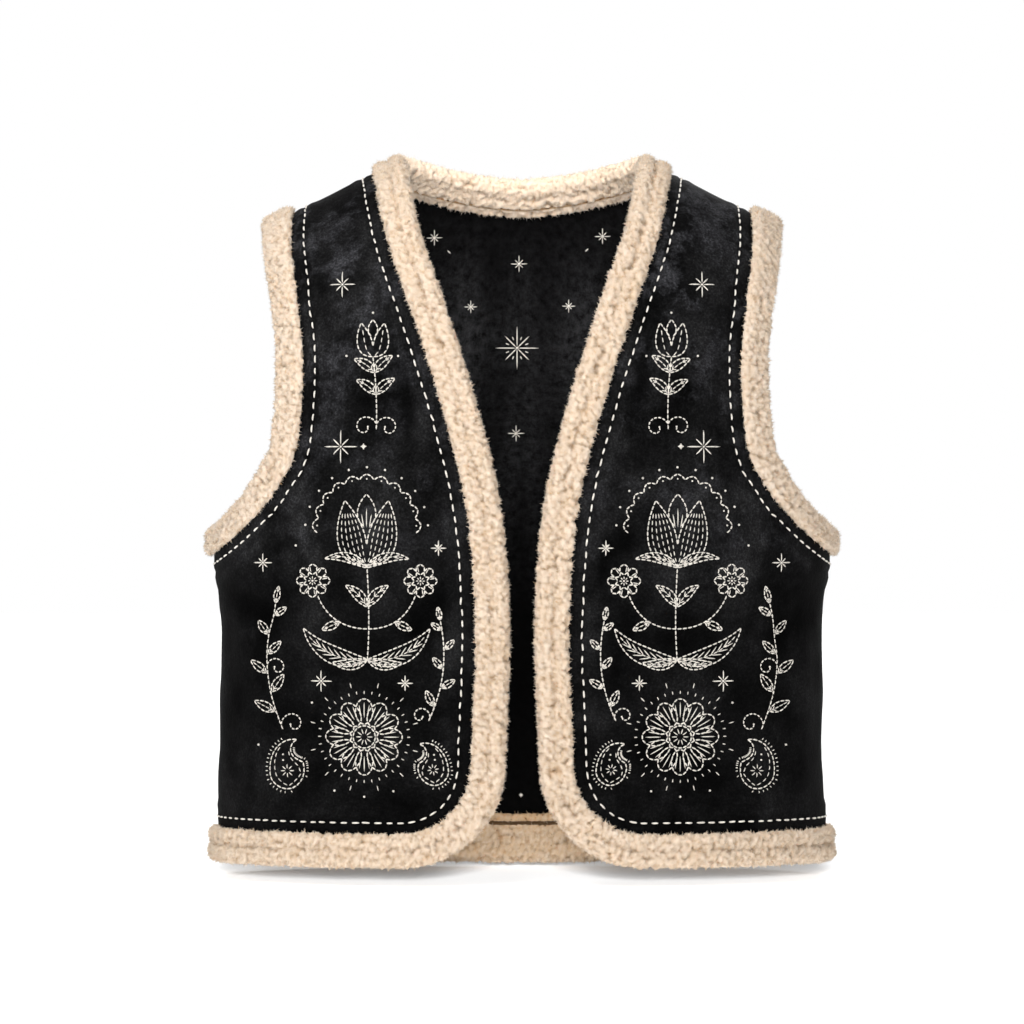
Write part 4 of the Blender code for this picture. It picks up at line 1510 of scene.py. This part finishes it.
class Skin:
    """A cloth panel's own mesh, to lay stitches on."""

    REACH = 0.006

    def __init__(self, piece):
        spots = [spot.co for spot in piece.data.vertices]
        self.tree = BVHTree.FromPolygons(spots, [face.vertices for face in piece.data.polygons])

    def on(self, points, normals):
        """Points moved along their normals onto the mesh."""
        moved = points.copy()
        for i, (point, normal) in enumerate(zip(points, normals)):
            spot = self.tree.ray_cast(Vector(point + self.REACH * normal), Vector(-normal), 2 * self.REACH)[0]
            if spot is not None:
                moved[i] = spot
        return moved


def lift_stitches(face, side, starts, ends, width, lift, skin, rings=3, sides=4, lined=False):
    """Stitches laid on the cloth between places, on its outer skin, or on the lining's inner one.

    Their middles rise over whatever stands between their ends.
    """
    outer, inner, normals, _ = lay_cloth(face, side, np.stack([starts, 0.5 * (starts + ends), ends]), lined)
    spots, normals = (inner, -normals) if lined else (outer, normals)
    low, middle, high = (skin.on(*pair) for pair in zip(spots, normals))
    swell = np.sum((middle - 0.5 * (low + high)) * normals[1], axis=1)
    return stitches(low, high, normals[1], width, lift + np.maximum(swell, 0), rings, sides)


# Embroidery: motifs drawn flat, as complex numbers of the distance from the middle and the height. A motif's
# function holds its own places and sizes in metres, and its shares of a line or a size.

LINE_WIDTH = 0.00100
FINE_WIDTH = 0.00074
RAY_WIDTH = 0.00092
STITCH_LENGTH = 0.0037
STITCH_LAP = -0.0001
OPEN_GAP = 0.0010
EMBROIDERY_LIFT = 0.00030


def bowed(start, end, bow, count=20):
    """A curve between two spots that bows sideways: a parabola."""
    t = np.linspace(0, 1, count)
    return start + (end - start) * t + 1j * (end - start) / abs(end - start) * bow * 4 * t * (1 - t)


def curl(start, heading, size, turns, way):
    """A scroll that winds in: its radius shrinks evenly from size as it turns."""
    angle = np.linspace(0, turns * tau, 50)
    radius = size * (1 - angle / (turns * tau) * 0.78)
    step = np.diff(angle, prepend=0) * radius
    return start + np.cumsum(step * np.exp(1j * (heading + way * angle)))


def in_pieces(line, length, gap, width):
    """A line cut into stitches of a length with a gap between: their starts, ends and widths."""
    along = np.concatenate([[0], np.cumsum(np.abs(np.diff(line)))])
    count = max(1, int(round((along[-1] + gap) / (length + gap))))
    pitch = (along[-1] + gap) / count
    starts = np.arange(count) * pitch
    at = np.stack([starts, starts + pitch - gap])
    ends = np.interp(at, along, line.real) + 1j * np.interp(at, along, line.imag)
    return np.stack([*ends, np.full(count, width, complex)])


def outlined(line, width=LINE_WIDTH):
    """Close back stitches along a line."""
    return in_pieces(line, STITCH_LENGTH, STITCH_LAP, width)


def running(line):
    """Open running stitches along a line."""
    return in_pieces(line, STITCH_LENGTH, OPEN_GAP, FINE_WIDTH)


def satin(starts, ends, width=FINE_WIDTH):
    """Single long stitches from starts to ends."""
    starts, ends = np.broadcast_arrays(np.atleast_1d(starts), np.atleast_1d(ends))
    return np.stack([starts, ends, np.full(len(starts), width, complex)])


def around(count, turn=0.0):
    """Directions spaced evenly round a circle."""
    return np.exp(1j * (turn + np.arange(count) * tau / count))


def star(centre, size, width=RAY_WIDTH, heart=0.0009):
    """A star of eight straight stitches from near its centre, every second one shorter, over a knot."""
    way = around(8, pi / 2)
    reach = size * np.where(np.arange(8) % 2, 0.66, 1.0)
    return [satin(centre + way * 0.0003, centre + way * reach, width)] + knot(centre, heart)


def knot(centre, size):
    """A small knot: three short stitches crossed over one another."""
    way = np.exp(1j * (0.3 + np.arange(3) * pi / 3))
    return [satin(centre - way * size, centre + way * size, LINE_WIDTH)]


def great_star(centre, size):
    """A sixteen-rayed star: four long rays, four middling, and short dashes between."""
    way = around(16)
    kind = np.array([0, 2, 1, 2] * 4)
    near = size * np.array([-0.04, -0.04, 0.36])[kind]
    far = size * np.array([1.0, 0.80, 0.55])[kind]
    return [satin(centre + way * near, centre + way * far, RAY_WIDTH)] + knot(centre, 0.0014)


def bezier(base, way, *corners, count=30):
    """A cubic curve through four corners given along and to the left of a way from a base."""
    a, b, c, d = (base + way * corner for corner in corners)
    t = np.linspace(0, 1, count)
    return a * (1 - t) ** 3 + 3 * b * t * (1 - t) ** 2 + 3 * c * t * t * (1 - t) + d * t ** 3


def leaf(base, tip, width, veins, bow=0.0):
    """A pointed leaf on a bowed spine: two bellied sides, a middle vein, and slanting stitches."""
    spine = bowed(base, tip, bow * abs(tip - base), 41)
    across = np.gradient(spine)
    across = 1j * across / np.abs(across) * 0.5 * width
    t = np.linspace(0, 1, 41)
    belly = np.sin(pi * t ** 0.85) ** 0.9
    made = [outlined(spine + across * way * belly) for way in (-1, 1)]
    made.append(outlined(spine[2:36], FINE_WIDTH))
    at = np.linspace(6, 26, veins).astype(int)
    for way in (-1, 1):
        reach = at + 6
        made.append(satin(spine[at], spine[reach] + across[reach] * way * belly[reach] * 0.66))
    return made


def petals(centre, count, near, far, width, filled):
    """A ring of rounded petals, each an oval outline with a fan of long stitches in it."""
    made = []
    round_petal = np.linspace(0, tau, 26)
    middle, long = 0.5 * (near + far), far - near
    oval = middle - 0.5 * long * np.cos(round_petal) + 1j * 0.5 * width * np.sin(round_petal)
    across = np.linspace(-0.30, 0.30, filled) * width
    reach = middle + 0.40 * long * np.cos(across / width * 2.6)
    for way in around(count):
        made.append(outlined(centre + way * oval))
        starts = centre + way * (near + 0.22 * long + 0.55j * across)
        made.append(satin(starts, centre + way * (reach + 1j * across)))
    return made


def ring_of(centre, size, count, length, turn=0):
    """A ring of short stitches pointing outwards."""
    way = around(count, turn)
    return [satin(centre + way * size, centre + way * (size + length))]


def circle(centre, size):
    """A round outline."""
    return [outlined(centre + size * np.exp(1j * np.linspace(0, tau, 40)))]


def tulip(base, heading, size, veins):
    """A tulip: two side petals that belly out from the stem, a middle one between, and fine veins."""
    way = size * np.exp(1j * heading)
    made = []
    for side in (-1j, 1j):
        outer = bezier(base, way, 0, -0.04 + 0.52 * side, 0.52 + 0.56 * side, 1.0 + 0.34 * side)
        inner = bezier(base, way, 0, 0.22 + 0.02 * side, 0.50 - 0.10 * side, 1.0 + 0.34 * side)
        made += [outlined(outer), outlined(inner[12:])]
        for share in np.linspace(0, 1, veins + 2)[1:-1]:
            made.append(running((outer * (1 - share) + inner * share)[2:26]))
        middle = (0.60 + 0.05 * side, 0.74 + 0.22 * side, 0.96 + 0.14 * side, 1.10)
        made.append(outlined(bezier(base, way, *middle)))
    if veins > 1:
        spread = np.array([-0.10, 0, 0.10])
        reach = np.array([0.80, 0.90, 0.80])
        made.append(satin(base + way * (0.56 + 0.4j * spread), base + way * (reach + 1j * spread * 0.8)))
    return made


def daisy(centre, count, far):
    """A small open flower: oval petals with one stitch in each, round a ring of short stitches."""
    made = petals(centre, count, 0.36 * far, far, 4.4 * far / count, 1)
    return made + ring_of(centre, 0.10 * far, 8, 0.18 * far) + knot(centre, 0.08 * far)


def paisley(centre, heading, size, way):
    """A drop with a round head and a tail that curls over: a bent spine with a half width along it."""
    long = 3.1 * size
    s = np.linspace(0, long, 70)
    angle = heading + way * 2.3 * (s / long) ** 1.8
    spine = centre + np.concatenate([[0], np.cumsum(np.exp(1j * angle[:-1]) * np.diff(s))])
    head = np.sqrt(np.clip(1 - ((s - size) / size) ** 2, 0, 1))
    tail = np.clip(1 - (s - size) / (long - size), 0, 1) ** 1.15
    half = size * np.where(s < size, head, tail)

    def border(scale, low, high):
        """A closed line round a part of the spine, at a scale of its half width."""
        part = slice(int(low * len(s)), int(high * len(s)))
        side = 1j * np.exp(1j * angle[part]) * half[part] * scale
        return np.concatenate([(spine[part] + side)[::-1], (spine[part] - side)])

    made = [outlined(border(1.0, 0, 1)), running(border(0.66, 0.09, 0.72))]
    rim = border(1.0, 0.05, 0.80)[::3]
    out = -1j * np.gradient(rim) / np.abs(np.gradient(rim))
    made.append(satin(rim + out * 0.0014, rim + out * 0.0032))
    rays = around(8, heading)
    middle = spine[int(0.30 * len(s))]
    made.append(satin(middle + rays * 0.10 * size, middle + rays * 0.38 * size))
    for share in (0.50, 0.60):
        made += knot(spine[int(share * len(s))], 0.0008)
    return made


def stem_spot(line, share):
    """A place on a stem and the direction it grows in there."""
    long = np.arange(len(line)) / (len(line) - 1)
    shares = (share, share + 0.03)
    at, after = np.interp(shares, long, line.real) + 1j * np.interp(shares, long, line.imag)
    return at, (after - at) / abs(after - at)


def sprig(line, count, size, width):
    """A stem with leaves on alternate sides that grow smaller towards its tip, which ends in one leaf."""
    made = [outlined(line)]
    for k, share in enumerate(np.linspace(0.14, 0.90, count)):
        at, heading = stem_spot(line, share)
        turned = heading * np.exp(0.80j * (1 if k % 2 else -1))
        reach = size * (1 - 0.35 * share)
        start = at + 0.0012 * turned
        made += [satin(at, start)] + leaf(start, at + turned * reach, width * (1 - 0.30 * share), 1)
    heading = stem_spot(line, 0.96)[1]
    return made + leaf(line[-1], line[-1] + heading * 0.7 * size, 0.7 * width, 2)


def tendril(line, share, size, way):
    """A scroll that leaves a stem at a share of it and winds in, with a knot at its end."""
    at, heading = stem_spot(line, share)
    wound = curl(at, np.angle(heading) + 0.35 * way, size, 1.05, way)
    return [in_pieces(wound, 0.0026, 0.0003, LINE_WIDTH)] + knot(wound[-1], 0.0008)


def dots(*spots):
    """Small knots at spots."""
    return [part for spot in spots for part in knot(spot, 0.0010)]


def upper_spray():
    """An upright stem with leaves in pairs, two scrolls at its foot and a tulip at its tip."""
    stem = bowed(0.1000 - 0.1765j, 0.1020 - 0.1265j, 0.0010, 40)
    made = [outlined(stem)] + tulip(stem[-1], pi / 2, 0.0230, 1)
    for way in (-1, 1):
        for share in (0.48, 0.78):
            at, grows = stem_spot(stem, share)
            made += leaf(at, at + 0.0170 * grows * np.exp(0.90j * way), 0.0066, 2, -0.08 * way)
        made += tendril(stem, 0.08, 0.0082, way)
    return made + dots(0.0850 - 0.1260j, 0.1200 - 0.1260j, 0.1020 - 0.0965j)


def tulip_plant():
    """A straight stem with a great tulip under a scalloped arch, two daisies on branches, and leaves."""
    middle = 0.1060
    stem = bowed(middle - 0.3350j, middle - 0.2680j, 0.0010, 40)
    made = [outlined(stem)] + tulip(middle - 0.2690j, pi / 2, 0.0440, 5)
    crown = middle - 0.2440j
    corners = crown + 0.0335 * np.exp(1j * np.linspace(-0.10, pi + 0.10, 12))
    for start, end in zip(corners[:-1], corners[1:]):
        made.append(outlined(bowed(start, end, -0.0040)))
        out = 0.5 * (start + end) - crown
        made += knot(crown + out * 1.26, 0.0010) + knot(crown + out * 1.02, 0.0007)
    for way in (-1, 1):
        branch = bowed(middle - 0.3130j, middle + way * 0.0330 - 0.2900j, -way * 0.0070, 40)
        made += [outlined(branch)] + daisy(branch[-1] + (way * 0.0035 + 0.0100j), 8, 0.0116)
        at, grows = stem_spot(branch, 0.45)
        made += leaf(at, at + 0.0130 * grows * np.exp(-1.0j * way), 0.0056, 2)
        low = middle - 0.3340j
        made += leaf(low, low + way * 0.0430 + 0.0215j, 0.0120, 6, -way * 0.16)
        made += leaf(low, low + way * 0.0240 - 0.0020j, 0.0074, 4, -way * 0.10)
        made += leaf(middle - 0.2980j, middle + way * 0.0150 - 0.2830j, 0.0070, 3, way * 0.08)
        made += leaf(middle - 0.2710j, middle + way * 0.0290 - 0.2650j, 0.0066, 3, way * 0.14)
        made += dots(middle + way * 0.0480 - 0.2560j)
    return made


def great_flower():
    """A twelve-petalled flower ringed with stitches, between two paisley drops, with sprigs above them."""
    heart = 0.1080 - 0.3870j
    made = petals(heart, 12, 0.0085, 0.0265, 0.0122, 3)
    made += circle(heart, 0.0078)
    for ring in ((0.0018, 10, 0.0042, 0), (0.0292, 36, 0.0026, 0), (0.0342, 12, 0.0042, pi / 12)):
        made += ring_of(heart, *ring)
    made += paisley(0.1530 - 0.4200j, 0.75, 0.0125, 1) + paisley(0.0660 - 0.4180j, pi - 0.95, 0.0110, -1)
    outer = bowed(0.1640 - 0.3830j, 0.1700 - 0.2960j, -0.0080, 60)
    inner = bowed(0.0640 - 0.3760j, 0.0560 - 0.3070j, 0.0060, 60)
    made += sprig(outer, 6, 0.0180, 0.0068) + sprig(inner, 5, 0.0140, 0.0058)
    made += tendril(outer, 0.04, 0.0086, 1) + tendril(outer, 0.52, 0.0072, 1)
    made += tendril(inner, 0.04, 0.0068, -1)
    made += dots(0.1080 - 0.4280j, 0.1280 - 0.4240j, 0.0880 - 0.4240j)
    return made + dots(0.1810 - 0.3940j, 0.1440 - 0.3640j)


def front_motifs():
    """The flowers on one front."""
    return upper_spray() + tulip_plant() + great_flower()


# Stars on a front: distance from the middle, height and size
FRONT_STARS = np.array([
    (0.1230, -0.0772, 0.0096),
    (0.1241, -0.1882, 0.0122),
    (0.1085, -0.1880, 0.0022),
    (0.1780, -0.2680, 0.0070),
    (0.0572, -0.2575, 0.0058),
    (0.1375, -0.3490, 0.0080),
    (0.0800, -0.3500, 0.0058),
])


def front_stars():
    """The stars on one front."""
    return [part for x, z, size in FRONT_STARS for part in star(x + 1j * z, size)]


# Stars on the lining: distance from the middle, height, size
LINING_STARS = np.array([
    (-0.0628, -0.0380, 0.0062),
    (0.0580, -0.0367, 0.0062),
    (-0.0020, -0.0567, 0.0064),
    (-0.0370, -0.0867, 0.0052),
    (0.0338, -0.0867, 0.0052),
    (-0.0041, -0.1785, 0.0064),
    (-0.0006, -0.4370, 0.0016),
])
# Short tails beside them: distance from the middle, height, slant
LINING_TAILS = np.array([
    (-0.0535, -0.0470, 1),
    (0.0480, -0.0452, -1),
])
GREAT_LINING_STAR = (-0.0034 - 0.1174j, 0.0165)


def embroidered(face, side, drawn, skin, lined=False):
    """A flat drawing of stitches laid on the cloth: a spot's distance and height become its place on it."""
    starts, ends, widths = np.concatenate(drawn, axis=1)
    spots = []
    for at in (starts, ends):
        place = share_and_drop(np.abs(at.real), at.imag)
        place[:, 0] *= np.sign(at.real + TINY) if face == BACK else 1
        spots.append(place)
    return lift_stitches(face, side, *spots, widths.real, EMBROIDERY_LIFT, skin, lined=lined)


# Operators

BACK_COARSER = 1.3


def color_setting(name, description, color):
    """A colour in the sidebar."""
    return bpy.props.FloatVectorProperty(name=name, description=description, subtype="COLOR", default=color)


def length_setting(name, description, length, digits=4):
    """A length in the sidebar."""
    return bpy.props.FloatProperty(
        name=name, description=description, default=length, unit="LENGTH", precision=digits)


def plain_setting(name, description, value):
    """A plain number in the sidebar."""
    return bpy.props.FloatProperty(name=name, description=description, default=value)


class VestCloth(bpy.types.PropertyGroup):
    """Sizes and colours of the cloth."""

    suede_step: length_setting("Suede mesh", "Spacing of the suede's mesh", 0.0036)
    lining_step: length_setting("Lining mesh", "Spacing of the lining's mesh", 0.0050)
    suede_color: color_setting("Suede", "Colour of the suede's dark nap", (0.0040, 0.0040, 0.0041))
    # The suede's paler patches: the nap's own mottling, grown towards the shoulders as painted sheen
    bloom_and_sheen_color: color_setting("Bloom", "Colour of the suede's paler patches", (0.031, 0.031, 0.034))
    lining_color: color_setting("Lining", "Colour of the lining", (0.0100, 0.0100, 0.0106))


class VestPile(bpy.types.PropertyGroup):
    """Sizes and colours of the shearling."""

    density: plain_setting("Fibres", "Fibres on each square centimetre", 81.0)
    # The hollows' colour is painted shade and the tips' colour painted highlight; the pile's is the wool's
    # own
    hollow_shade_color: color_setting("Hollows", "Colour deep between the locks", (0.560, 0.345, 0.175))
    pile_color: color_setting("Pile", "Colour of the locks", (0.560, 0.420, 0.287))
    tip_highlight_color: color_setting("Tips", "Colour of the locks' tips", (0.695, 0.590, 0.490))


class VestThread(bpy.types.PropertyGroup):
    """Colours of the threads."""

    top_color: color_setting("Topstitch", "Colour of the topstitches", (0.86, 0.81, 0.73))
    fine_color: color_setting("Embroidery", "Colour of the embroidery", (0.84, 0.79, 0.71))


class VestStage(bpy.types.PropertyGroup):
    """The floor, lights and camera."""

    floor_gap: length_setting("Floor gap", "Height of the hem over the floor", 0.0022)
    room_light: plain_setting("Room light", "Strength of the even light all round", 0.25)
    top_light: plain_setting("Top light", "Strength of the soft light from above", 1.5)
    floor_light: plain_setting("Floor light", "Strength of the low light that only the floor takes", 24.5)
    camera_distance: length_setting("Camera distance", "From the camera to the vest", 5.0, 2)
    frame_width: length_setting("Frame width", "Width that the camera sees at the vest", 0.7168, 2)
    camera_height: bpy.props.FloatProperty(
        name="Camera angle", description="Angle of the camera above level", default=radians(0.5),
        unit="ROTATION")


class VEST_OT_suede(bpy.types.Operator):
    """Adds the two suede fronts and the suede back"""

    bl_idname = "vest.suede"
    bl_label = "Suede Panels"

    def execute(self, context):
        cloth = context.scene.vest_cloth
        material = suede_material(cloth)
        places = front_patch(cloth.suede_step)
        for name, side in SIDES:
            piece = add_panel("suede_front_" + name, FRONT, side, places, material)
            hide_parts("front_" + name)
        piece = add_panel("suede_back", BACK, 0, whole_back(BACK_COARSER * cloth.suede_step), material)
        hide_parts("back")
        return {"FINISHED"}


class VEST_OT_lining(bpy.types.Operator):
    """Adds the back's lining"""

    bl_idname = "vest.lining"
    bl_label = "Lining"

    def execute(self, context):
        cloth = context.scene.vest_cloth
        places = whole_back(cloth.lining_step)
        piece = add_panel("lining_back", BACK, 0, places, lining_material(cloth), True)
        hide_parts("back_lining")
        return {"FINISHED"}


def all_strips():
    """Every strip by its solid's name."""
    front = cut_edge(FRONT, front_edge_line(), 1)
    front_arm = cut_edge(FRONT, armhole_line(), 1, underarm_squeeze)
    back_arm = cut_edge(BACK, armhole_line(), -1, underarm_squeeze)
    armhole = front_arm.joined(back_arm.flipped(), closed=True)
    hem = cut_edge(BACK, back_hem_line(), -1)
    hem = hem.mirrored().flipped().joined(hem)
    neck = cut_edge(BACK, back_neck_line(), -1)
    neck = neck.joined(neck.mirrored().flipped())
    # Paler gives the neck and armholes painted light and the back hem, inside the vest, painted shade; the
    # hem's lip gets painted shade under the lining's edge
    return {
        "trim_front_left": Strip(front, LEAF, SINGLE_GAP),
        "trim_front_right": Strip(front.mirrored(), LEAF, SINGLE_GAP),
        "trim_armhole_left": Strip(armhole, LEAF, LINED_GAP, ring=True, paler=0.05),
        "trim_armhole_right": Strip(armhole.mirrored(), LEAF, LINED_GAP, ring=True, paler=0.05),
        "trim_back_hem": Strip(hem, HEM_FACING, LINED_GAP, lip=0.16, paler=-0.12),
        "trim_back_neck": Strip(neck, NECK_FACING, LINED_GAP, lip=0.0, paler=0.08),
    }


class VEST_OT_shearling(bpy.types.Operator):
    """Adds the shearling strips over every raw edge"""

    bl_idname = "vest.shearling"
    bl_label = "Shearling Strips"

    def execute(self, context):
        pile = context.scene.vest_pile
        material = shearling_material(pile)
        for number, (name, strip) in enumerate(all_strips().items()):
            piece = add_strip("shearling_" + name, strip, 100 + 10 * number, material, pile.density)
            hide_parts(name)
        return {"FINISHED"}


def add_thread(name, parts, material):
    """A piece of joined stitches."""
    points, faces, plies = joined(parts)
    piece = new_piece(name, points, faces, material, uv=plies)
    return piece


class VEST_OT_topstitching(bpy.types.Operator):
    """Adds the running stitches beside the shearling"""

    bl_idname = "vest.topstitching"
    bl_label = "Topstitching"

    def execute(self, context):
        material = thread_material("topstitch_thread", context.scene.vest_thread.top_color)
        for name, side in SIDES:
            skin = Skin(bpy.data.objects["suede_front_" + name])
            parts = [top_stitches(FRONT, side, front_edge_line(), 1, skin),
                     top_stitches(FRONT, side, armhole_line(), 1, skin, underarm_squeeze)]
            add_thread("topstitch_front_" + name, parts, material)
        skin = Skin(bpy.data.objects["suede_back"])
        lines = ((back_hem_line(), None), (armhole_line(), underarm_squeeze), (back_neck_line(), None))
        parts = [top_stitches(BACK, 0, line * (way, 1), -way, skin, squeeze)
                 for line, squeeze in lines for way in (1, -1)]
        add_thread("topstitch_back", parts, material)
        return {"FINISHED"}


class VEST_OT_embroidery(bpy.types.Operator):
    """Adds the embroidery on the fronts and the stars on the lining"""

    bl_idname = "vest.embroidery"
    bl_label = "Embroidery"

    def execute(self, context):
        material = thread_material("embroidery_thread", context.scene.vest_thread.fine_color)
        drawn = front_motifs() + front_stars()
        for name, side in SIDES:
            skin = Skin(bpy.data.objects["suede_front_" + name])
            add_thread("embroidery_front_" + name, [embroidered(FRONT, side, drawn, skin)], material)
        stars = great_star(*GREAT_LINING_STAR)
        for x, z, size in LINING_STARS:
            stars += star(x + 1j * z, size, FINE_WIDTH, 0.0014)
        for x, z, slant in LINING_TAILS:
            stars.append(satin(x + 1j * z, x + 0.0025 * slant + 1j * (z - 0.0024), RAY_WIDTH))
        skin = Skin(bpy.data.objects["lining_back"])
        add_thread("embroidery_lining", [embroidered(BACK, 0, stars, skin, True)], material)
        return {"FINISHED"}


VIEW_CENTRE = (-0.007, 0.0, -0.2338)
FLOOR_HALF = 8.0
WHITE = (1.0, 1.0, 1.0)

# The studio's square lights: name, place, aim, size, power and colour
AREA_LIGHTS = (
    ("key_light", (-0.28, -0.82, 0.46), (0.0, 0.05, -0.05), 0.5, 6.4, WHITE),
    ("front_light", (VIEW_CENTRE[0], -4.6, VIEW_CENTRE[2] + 0.06), VIEW_CENTRE, 0.6, 41, WHITE),
    ("neck_light", (0.12, -0.75, 0.34), (0.0, 0.10, -0.05), 0.30, 6.2, (1.0, 0.96, 0.92)),
    ("hem_light", (-0.30, -0.75, 0.16), (0.0, 0.11, -0.46), 0.20, 5.0, (1.0, 0.88, 0.70)),
    ("star_light", (0.0, -1.20, 0.05), (0.0, 0.11, -0.12), 0.30, 12.0, WHITE),
    ("rear_light", (0.6, 2.4, 1.2), VIEW_CENTRE, 1.6, 60, WHITE),
)

# Lights that shine on one piece alone
LIT_ALONE = {
    "neck_light": "shearling_trim_back_neck",
    "hem_light": "shearling_trim_back_hem",
    "star_light": "embroidery_lining",
}
TOP_DIRECTION = (0.15, 0.35, -1.0)
TOP_SPREAD = 70
FLOOR_DIRECTION = (0.0, 1.0, -0.11)
FLOOR_SPREAD = 9


def add_floor(level):
    """A wide pale floor."""
    material, _, surface = principled("pale_floor", rough=0.9, specular=0.1)
    surface.inputs["Base Color"].default_value = (0.92, 0.92, 0.92, 1)
    corners = [(FLOOR_HALF * x, FLOOR_HALF * y, level) for x, y in ((-1, -1), (1, -1), (1, 1), (-1, 1))]
    mesh = bpy.data.meshes.new("floor")
    mesh.from_pydata(corners, [], [(0, 1, 2, 3)])
    mesh.materials.append(material)
    floor = link(bpy.data.objects.new("floor", mesh))
    return floor


def add_world(strength):
    """Even light all round, seen as plain white behind everything."""
    world = bpy.data.worlds.new("studio")
    world.use_nodes = True
    tree = world.node_tree
    background = tree.nodes["Background"]
    background.inputs["Strength"].default_value = strength
    shown = add_node(tree, "ShaderNodeBackground", Strength=1.0)
    seen = add_node(tree, "ShaderNodeLightPath").outputs["Is Camera Ray"]
    links = [("Fac", seen), (1, background.outputs[0]), (2, shown.outputs[0])]
    both = add_node(tree, "ShaderNodeMixShader", links)
    for node in (background, shown):
        node.inputs["Color"].default_value = (*WHITE, 1)
    tree.links.new(both.outputs[0], tree.nodes["World Output"].inputs["Surface"])
    bpy.context.scene.world = world


def add_light(name, kind, power, direction, **values):
    """A light that shines along a direction."""
    light = bpy.data.lights.new(name, kind)
    light.energy = power
    for key, value in values.items():
        setattr(light, key, value)
    thing = link(bpy.data.objects.new(name, light))
    thing.rotation_euler = Vector(direction).to_track_quat("-Z", "Y").to_euler()
    return thing


def light_only(light, things, state="INCLUDE"):
    """Links a light to some things, or keeps it off them."""
    linked = bpy.data.collections.new(light.name + "_links")
    for thing in things:
        linked.objects.link(thing)
    for entry in linked.collection_objects:
        entry.light_linking.link_state = state
    light.light_linking.receiver_collection = linked


def add_lights(stage, floor):
    """The studio's lights: some shine on one piece alone, the low floor light only on the floor, and the rear
    light not on it.
    """
    lights = {}
    for name, place, aim, size, power, color in AREA_LIGHTS:
        lights[name] = add_light(name, "AREA", power, Vector(aim) - Vector(place), size=size, color=color)
        lights[name].location = place
    add_light("top_light", "SUN", stage.top_light, TOP_DIRECTION, angle=radians(TOP_SPREAD))
    low = add_light("floor_light", "SUN", stage.floor_light, FLOOR_DIRECTION, angle=radians(FLOOR_SPREAD))
    light_only(low, [floor])
    for name, lit in LIT_ALONE.items():
        light, piece = lights[name], bpy.data.objects[lit]
        light_only(light, [piece])
        light.light_linking.blocker_collection = bpy.data.collections.new(name + "_blockers")
        light.light_linking.blocker_collection.objects.link(piece)
    light_only(lights["rear_light"], [floor], "EXCLUDE")


def add_camera(stage):
    """The camera, at its distance from the vest's middle and a little above level."""
    lens = bpy.data.cameras.new("camera")
    lens.sensor_width = 36.0
    lens.lens = lens.sensor_width * stage.camera_distance / stage.frame_width
    lens.clip_end = 60
    camera = link(bpy.data.objects.new("camera", lens))
    tilt, reach = stage.camera_height, stage.camera_distance
    x, y, z = VIEW_CENTRE
    camera.location = (x, y - reach * np.cos(tilt), z + reach * np.sin(tilt))
    camera.rotation_euler = (pi / 2 - tilt, 0, 0)
    bpy.context.scene.camera = camera


class VEST_OT_stage(bpy.types.Operator):
    """Adds the pale floor, the studio lights and the camera"""

    bl_idname = "vest.stage"
    bl_label = "Stage"

    def execute(self, context):
        stage = context.scene.vest_stage
        floor = add_floor(SOLID_BOX[0][2] - stage.floor_gap)
        add_world(stage.room_light)
        add_lights(stage, floor)
        add_camera(stage)
        context.scene.view_settings.view_transform = "Standard"
        return {"FINISHED"}


class VEST_PT_panel(bpy.types.Panel):
    """The vest's settings and pieces in the sidebar."""

    bl_idname = "VEST_PT_panel"
    bl_label = "Shearling Vest"
    bl_space_type = "VIEW_3D"
    bl_region_type = "UI"
    bl_category = "Vest"

    def draw(self, context):
        for operator in OPERATORS:
            self.layout.operator(operator.bl_idname)
        for group in GROUPS:
            box = self.layout.box()
            settings = getattr(context.scene, GROUPS[group])
            for key in group.__annotations__:
                box.prop(settings, key)


GROUPS = {VestCloth: "vest_cloth", VestPile: "vest_pile", VestThread: "vest_thread", VestStage: "vest_stage"}
OPERATORS = (VEST_OT_suede, VEST_OT_lining, VEST_OT_shearling, VEST_OT_topstitching, VEST_OT_embroidery,
             VEST_OT_stage)


def register():
    """Adds the settings, operators and panel to Blender."""
    for group, name in GROUPS.items():
        bpy.utils.register_class(group)
        setattr(bpy.types.Scene, name, bpy.props.PointerProperty(type=group))
    for operator in OPERATORS:
        bpy.utils.register_class(operator)
    bpy.utils.register_class(VEST_PT_panel)


def unregister():
    """Takes them away again."""
    bpy.utils.unregister_class(VEST_PT_panel)
    for operator in reversed(OPERATORS):
        bpy.utils.unregister_class(operator)
    for group, name in GROUPS.items():
        delattr(bpy.types.Scene, name)
        bpy.utils.unregister_class(group)


def main():
    register()
    for operator in OPERATORS:
        group, name = operator.bl_idname.split(".")
        getattr(getattr(bpy.ops, group), name)()


if __name__ == "__main__":
    main()
